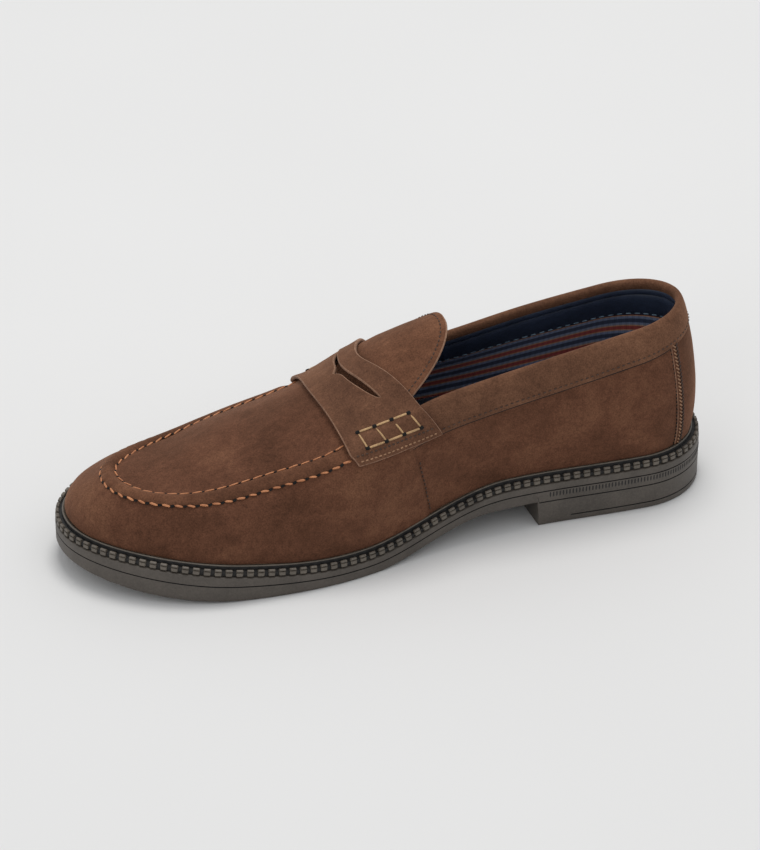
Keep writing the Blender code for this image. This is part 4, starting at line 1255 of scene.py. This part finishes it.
# the bead runs from point 6 of the section to its last point; the rest is near black, painted shade for the
# channel and the gaps between the teeth
tags = [0 if 6 <= k // len(fine_u) <= 10 else 1 for k in range(len(faces))]
solid_piece("welt_strip", points, faces, [RUBBER_PALE, RUBBER_BLACK_AND_SHADE], ["welt"], sharp=60,
            tags=tags)
TOOTH_PITCH, TOOTH_LONG = 4.75, 2.9
edge_ring = sole_ring(0.35, seat, np.linspace(0, 1, 1441)[:-1])
slope = unit(np.roll(edge_ring, -1, 0) - np.roll(edge_ring, 1, 0))
level = np.stack([-slope[:, 2] * slope[:, 0], -slope[:, 2] * slope[:, 1], 1 - slope[:, 2] ** 2], -1)
seam_row("welt_teeth", [(edge_ring, unit(level))], TOOTH_PITCH, (TOOTH_LONG, 1.0, 1.0), RUBBER_PALE,
         part=TOOTH, closed=True)

# %% [markdown]
# The sole is one moulded unit. Its side wall carries a fine line all round; the heel block has a row of
# small ticks, a line where the block meets the sole, and the line of the top piece near the floor. They
# are grooves in the section that we carry round, deep only where the real line runs.

# %% Outsole
BREAST = (HEEL_BLOCK - 0.5) * LENGTH
breast_u = [float(sole_outline(0).where(BREAST + 0.02)), float(sole_outline(0).where(BREAST - 0.9))]
half = np.concatenate([np.linspace(0, SIDE_TOE, 110), np.linspace(SIDE_TOE, breast_u[0], 120)[1:],
                       np.linspace(*breast_u, 2)[1:], np.linspace(breast_u[1], 0.5, 110)[1:]])
sole_u = np.concatenate([half, 1 - half[-2:0:-1]])
in_heel = np.minimum(sole_u, 1 - sole_u) >= breast_u[1] - 1e-9


def tread(x):
    """Underside of the sole in front of the heel block."""
    waist = WAIST_LIFT * ease((WAIST_FRONT - x / LENGTH) / WAIST_RUN)
    spring = np.clip((x / LENGTH - SPRING_FROM) / (0.5 - SPRING_FROM), 0, 1) ** SPRING_POWER
    return waist + TOE_SPRING * spring


LEDGE, LINE_WIDE, LINE_DEEP = WELT_HEIGHT + GAP, 0.55, 0.55
plain = sole_outline(0).plan(sole_u)[0]
high = seat(plain) - LEDGE
floor_line = np.where(in_heel, 0.0, tread(plain))
line_one = np.where(in_heel, high - 3.4, high - 0.38 * (high - floor_line))
line_two = np.where(in_heel, WAIST_LIFT, line_one * 0.55 + floor_line * 0.45)
line_three = np.where(in_heel, 3.1, line_one * 0.3 + floor_line * 0.7)
deep_two = np.where(in_heel, LINE_DEEP, 0.0)
deep_three = np.where(in_heel, LINE_DEEP, 0.0) * ease((BREAST - 16 - plain) / 1.0)
profile = [(WELT_REACH + WELT_TUCK + GAP, high + LEDGE), (WELT_REACH + WELT_TUCK + GAP, high),
           (0.55, high), (0.12, high - 0.2), (0.0, high - 0.7)]
for height, depth in ((line_one, LINE_DEEP + 0 * plain), (line_two, deep_two), (line_three, deep_three)):
    profile += [(0.0, height + LINE_WIDE / 2), (depth, height + LINE_WIDE / 5),
                (depth, height - LINE_WIDE / 5), (0.0, height - LINE_WIDE / 2)]
profile += [(0.0, floor_line + 0.9), (0.25, floor_line + 0.3), (0.9, floor_line)]


def ring_at(inset, height):
    """The outline with an inset of its own at each place."""
    x, y = sole_outline(0).plan(sole_u)
    ox, oy = sole_outline(0).outward(sole_u)
    return np.stack([x - ox * inset, y - oy * inset, height], -1)


rings = [ring_at(inset, height) for inset, height in profile]
count, columns = len(rings), len(sole_u)
points = np.concatenate(rings)
faces = grid_faces(count, columns, closed=True)


def ladder(start, back):
    """Rungs across a symmetric ring, from toe to heel."""
    middle = columns // 2
    rungs = [(start, start + 1, start + columns - 1)]
    rungs += [(start + i, start + i + 1, start + columns - i - 1, start + columns - i)
              for i in range(1, middle - 1)]
    rungs.append((start + middle - 1, start + middle, start + middle + 1))
    return [tuple(reversed(r)) for r in rungs] if back else rungs


faces += ladder(0, True) + ladder((count - 1) * columns, False)


# the walls and floor of a groove that is really cut are dark
tags, first_groove = [], 4
for row in range(count - 1):
    cut = profile[row][0] + profile[row + 1][0]
    dark = first_groove <= row <= count - 5
    tags += [1 if dark and np.max(np.broadcast_to(cut, columns)[[k, (k + 1) % columns]]) > 0.3
             else 0 for k in range(columns)]
tags += [0] * (len(faces) - len(tags))
solid_piece("outsole_unit", points, faces, [RUBBER, RUBBER_BLACK_AND_SHADE], ["outsole"], sharp=40,
            tags=tags)

# %% Ticks of the heel
heel_u = np.linspace(breast_u[1] + 0.006, 1 - breast_u[1] - 0.006, 400)
line = sole_ring(0.0, lambda x: seat(x) - LEDGE - 5.4, heel_u)
out_x, out_y = sole_outline(0).outward(heel_u)
ways = np.stack([out_x, out_y, 0 * out_x], -1)
seam_row("heel_ticks", [(line, ways)], 1.55, (0.62, 2.5, 0.3), RUBBER_BLACK_AND_SHADE)

# %% [markdown]
# ## Stage, light and camera
# The shoe stands on a plain pale floor. A wide soft light from above and behind models the suede and throws
# a soft shadow forwards; an even pale sky fills the rest. The camera looks down a little from the inner
# side, with a long lens so that nothing is distorted.

# %% Floor and light
for helper in (STITCH, TOOTH):
    bpy.data.objects.remove(helper, do_unlink=True)
mesh = bpy.data.meshes.new("floor")
mesh.from_pydata([(-6, -6, 0), (6, -6, 0), (6, 6, 0), (-6, 6, 0)], [], [(0, 1, 2, 3)])
floor = bpy.data.objects.new("floor", mesh)
bpy.context.scene.collection.objects.link(floor)
FLOOR, tree, shader = start_material("floor_paper", 0.9, Specular_IOR_Level=0.1)
paper = ((0.3, tone(223, 223, 223)), (0.7, tone(225, 225, 225)))
tree.links.new(ramp(tree, noise_of(tree, mapped(tree), 3, 2), paper), shader.inputs["Base Color"])
mesh.materials.append(FLOOR)
floor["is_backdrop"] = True

world = bpy.data.worlds.new("studio")
bpy.context.scene.world = world
world.use_nodes = True
sky = world.node_tree.nodes["Background"]
sky.inputs["Color"].default_value = (0.98, 0.99, 1.0, 1.0)
sky.inputs["Strength"].default_value = 0.66


def soft_light(name, place, aim, size, power, colour=(1, 1, 1)):
    lamp = bpy.data.lights.new(name, "AREA")
    lamp.shape, lamp.size, lamp.energy, lamp.color = "DISK", size, power, colour
    made = bpy.data.objects.new(name, lamp)
    made.location = place
    made.rotation_euler = (Vector(aim) - Vector(place)).to_track_quat("-Z", "Y").to_euler()
    bpy.context.scene.collection.objects.link(made)


soft_light("overhead", (-0.2, -0.5, 2.3), (0, 0, 0), 1.1, 24, (1.0, 0.985, 0.96))
soft_light("front_fill", (1.6, 1.6, 1.1), (0, 0, 0.03), 1.2, 5)

# %% Camera
lens = bpy.data.cameras.new("camera")
lens.sensor_width, lens.lens = 36.0, 148.0
lens.clip_start, lens.clip_end = 0.1, 30.0
camera = bpy.data.objects.new("camera", lens)
camera.location = (0.4280, 1.2947, 0.7973)
camera.rotation_euler = (Vector((0.0, 0.0, 0.040)) - camera.location).to_track_quat("-Z", "Y").to_euler()
bpy.context.scene.collection.objects.link(camera)
bpy.context.scene.camera = camera
bpy.context.scene.view_settings.view_transform = "Standard"

# %% [markdown]
# ## Size
# We take the bounds of the dressed shoe, without the floor. The dressed shoe may stand
# proud of the solid model only by a seam's height.

# %% Finish
bpy.context.view_layer.update()
low, high_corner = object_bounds()
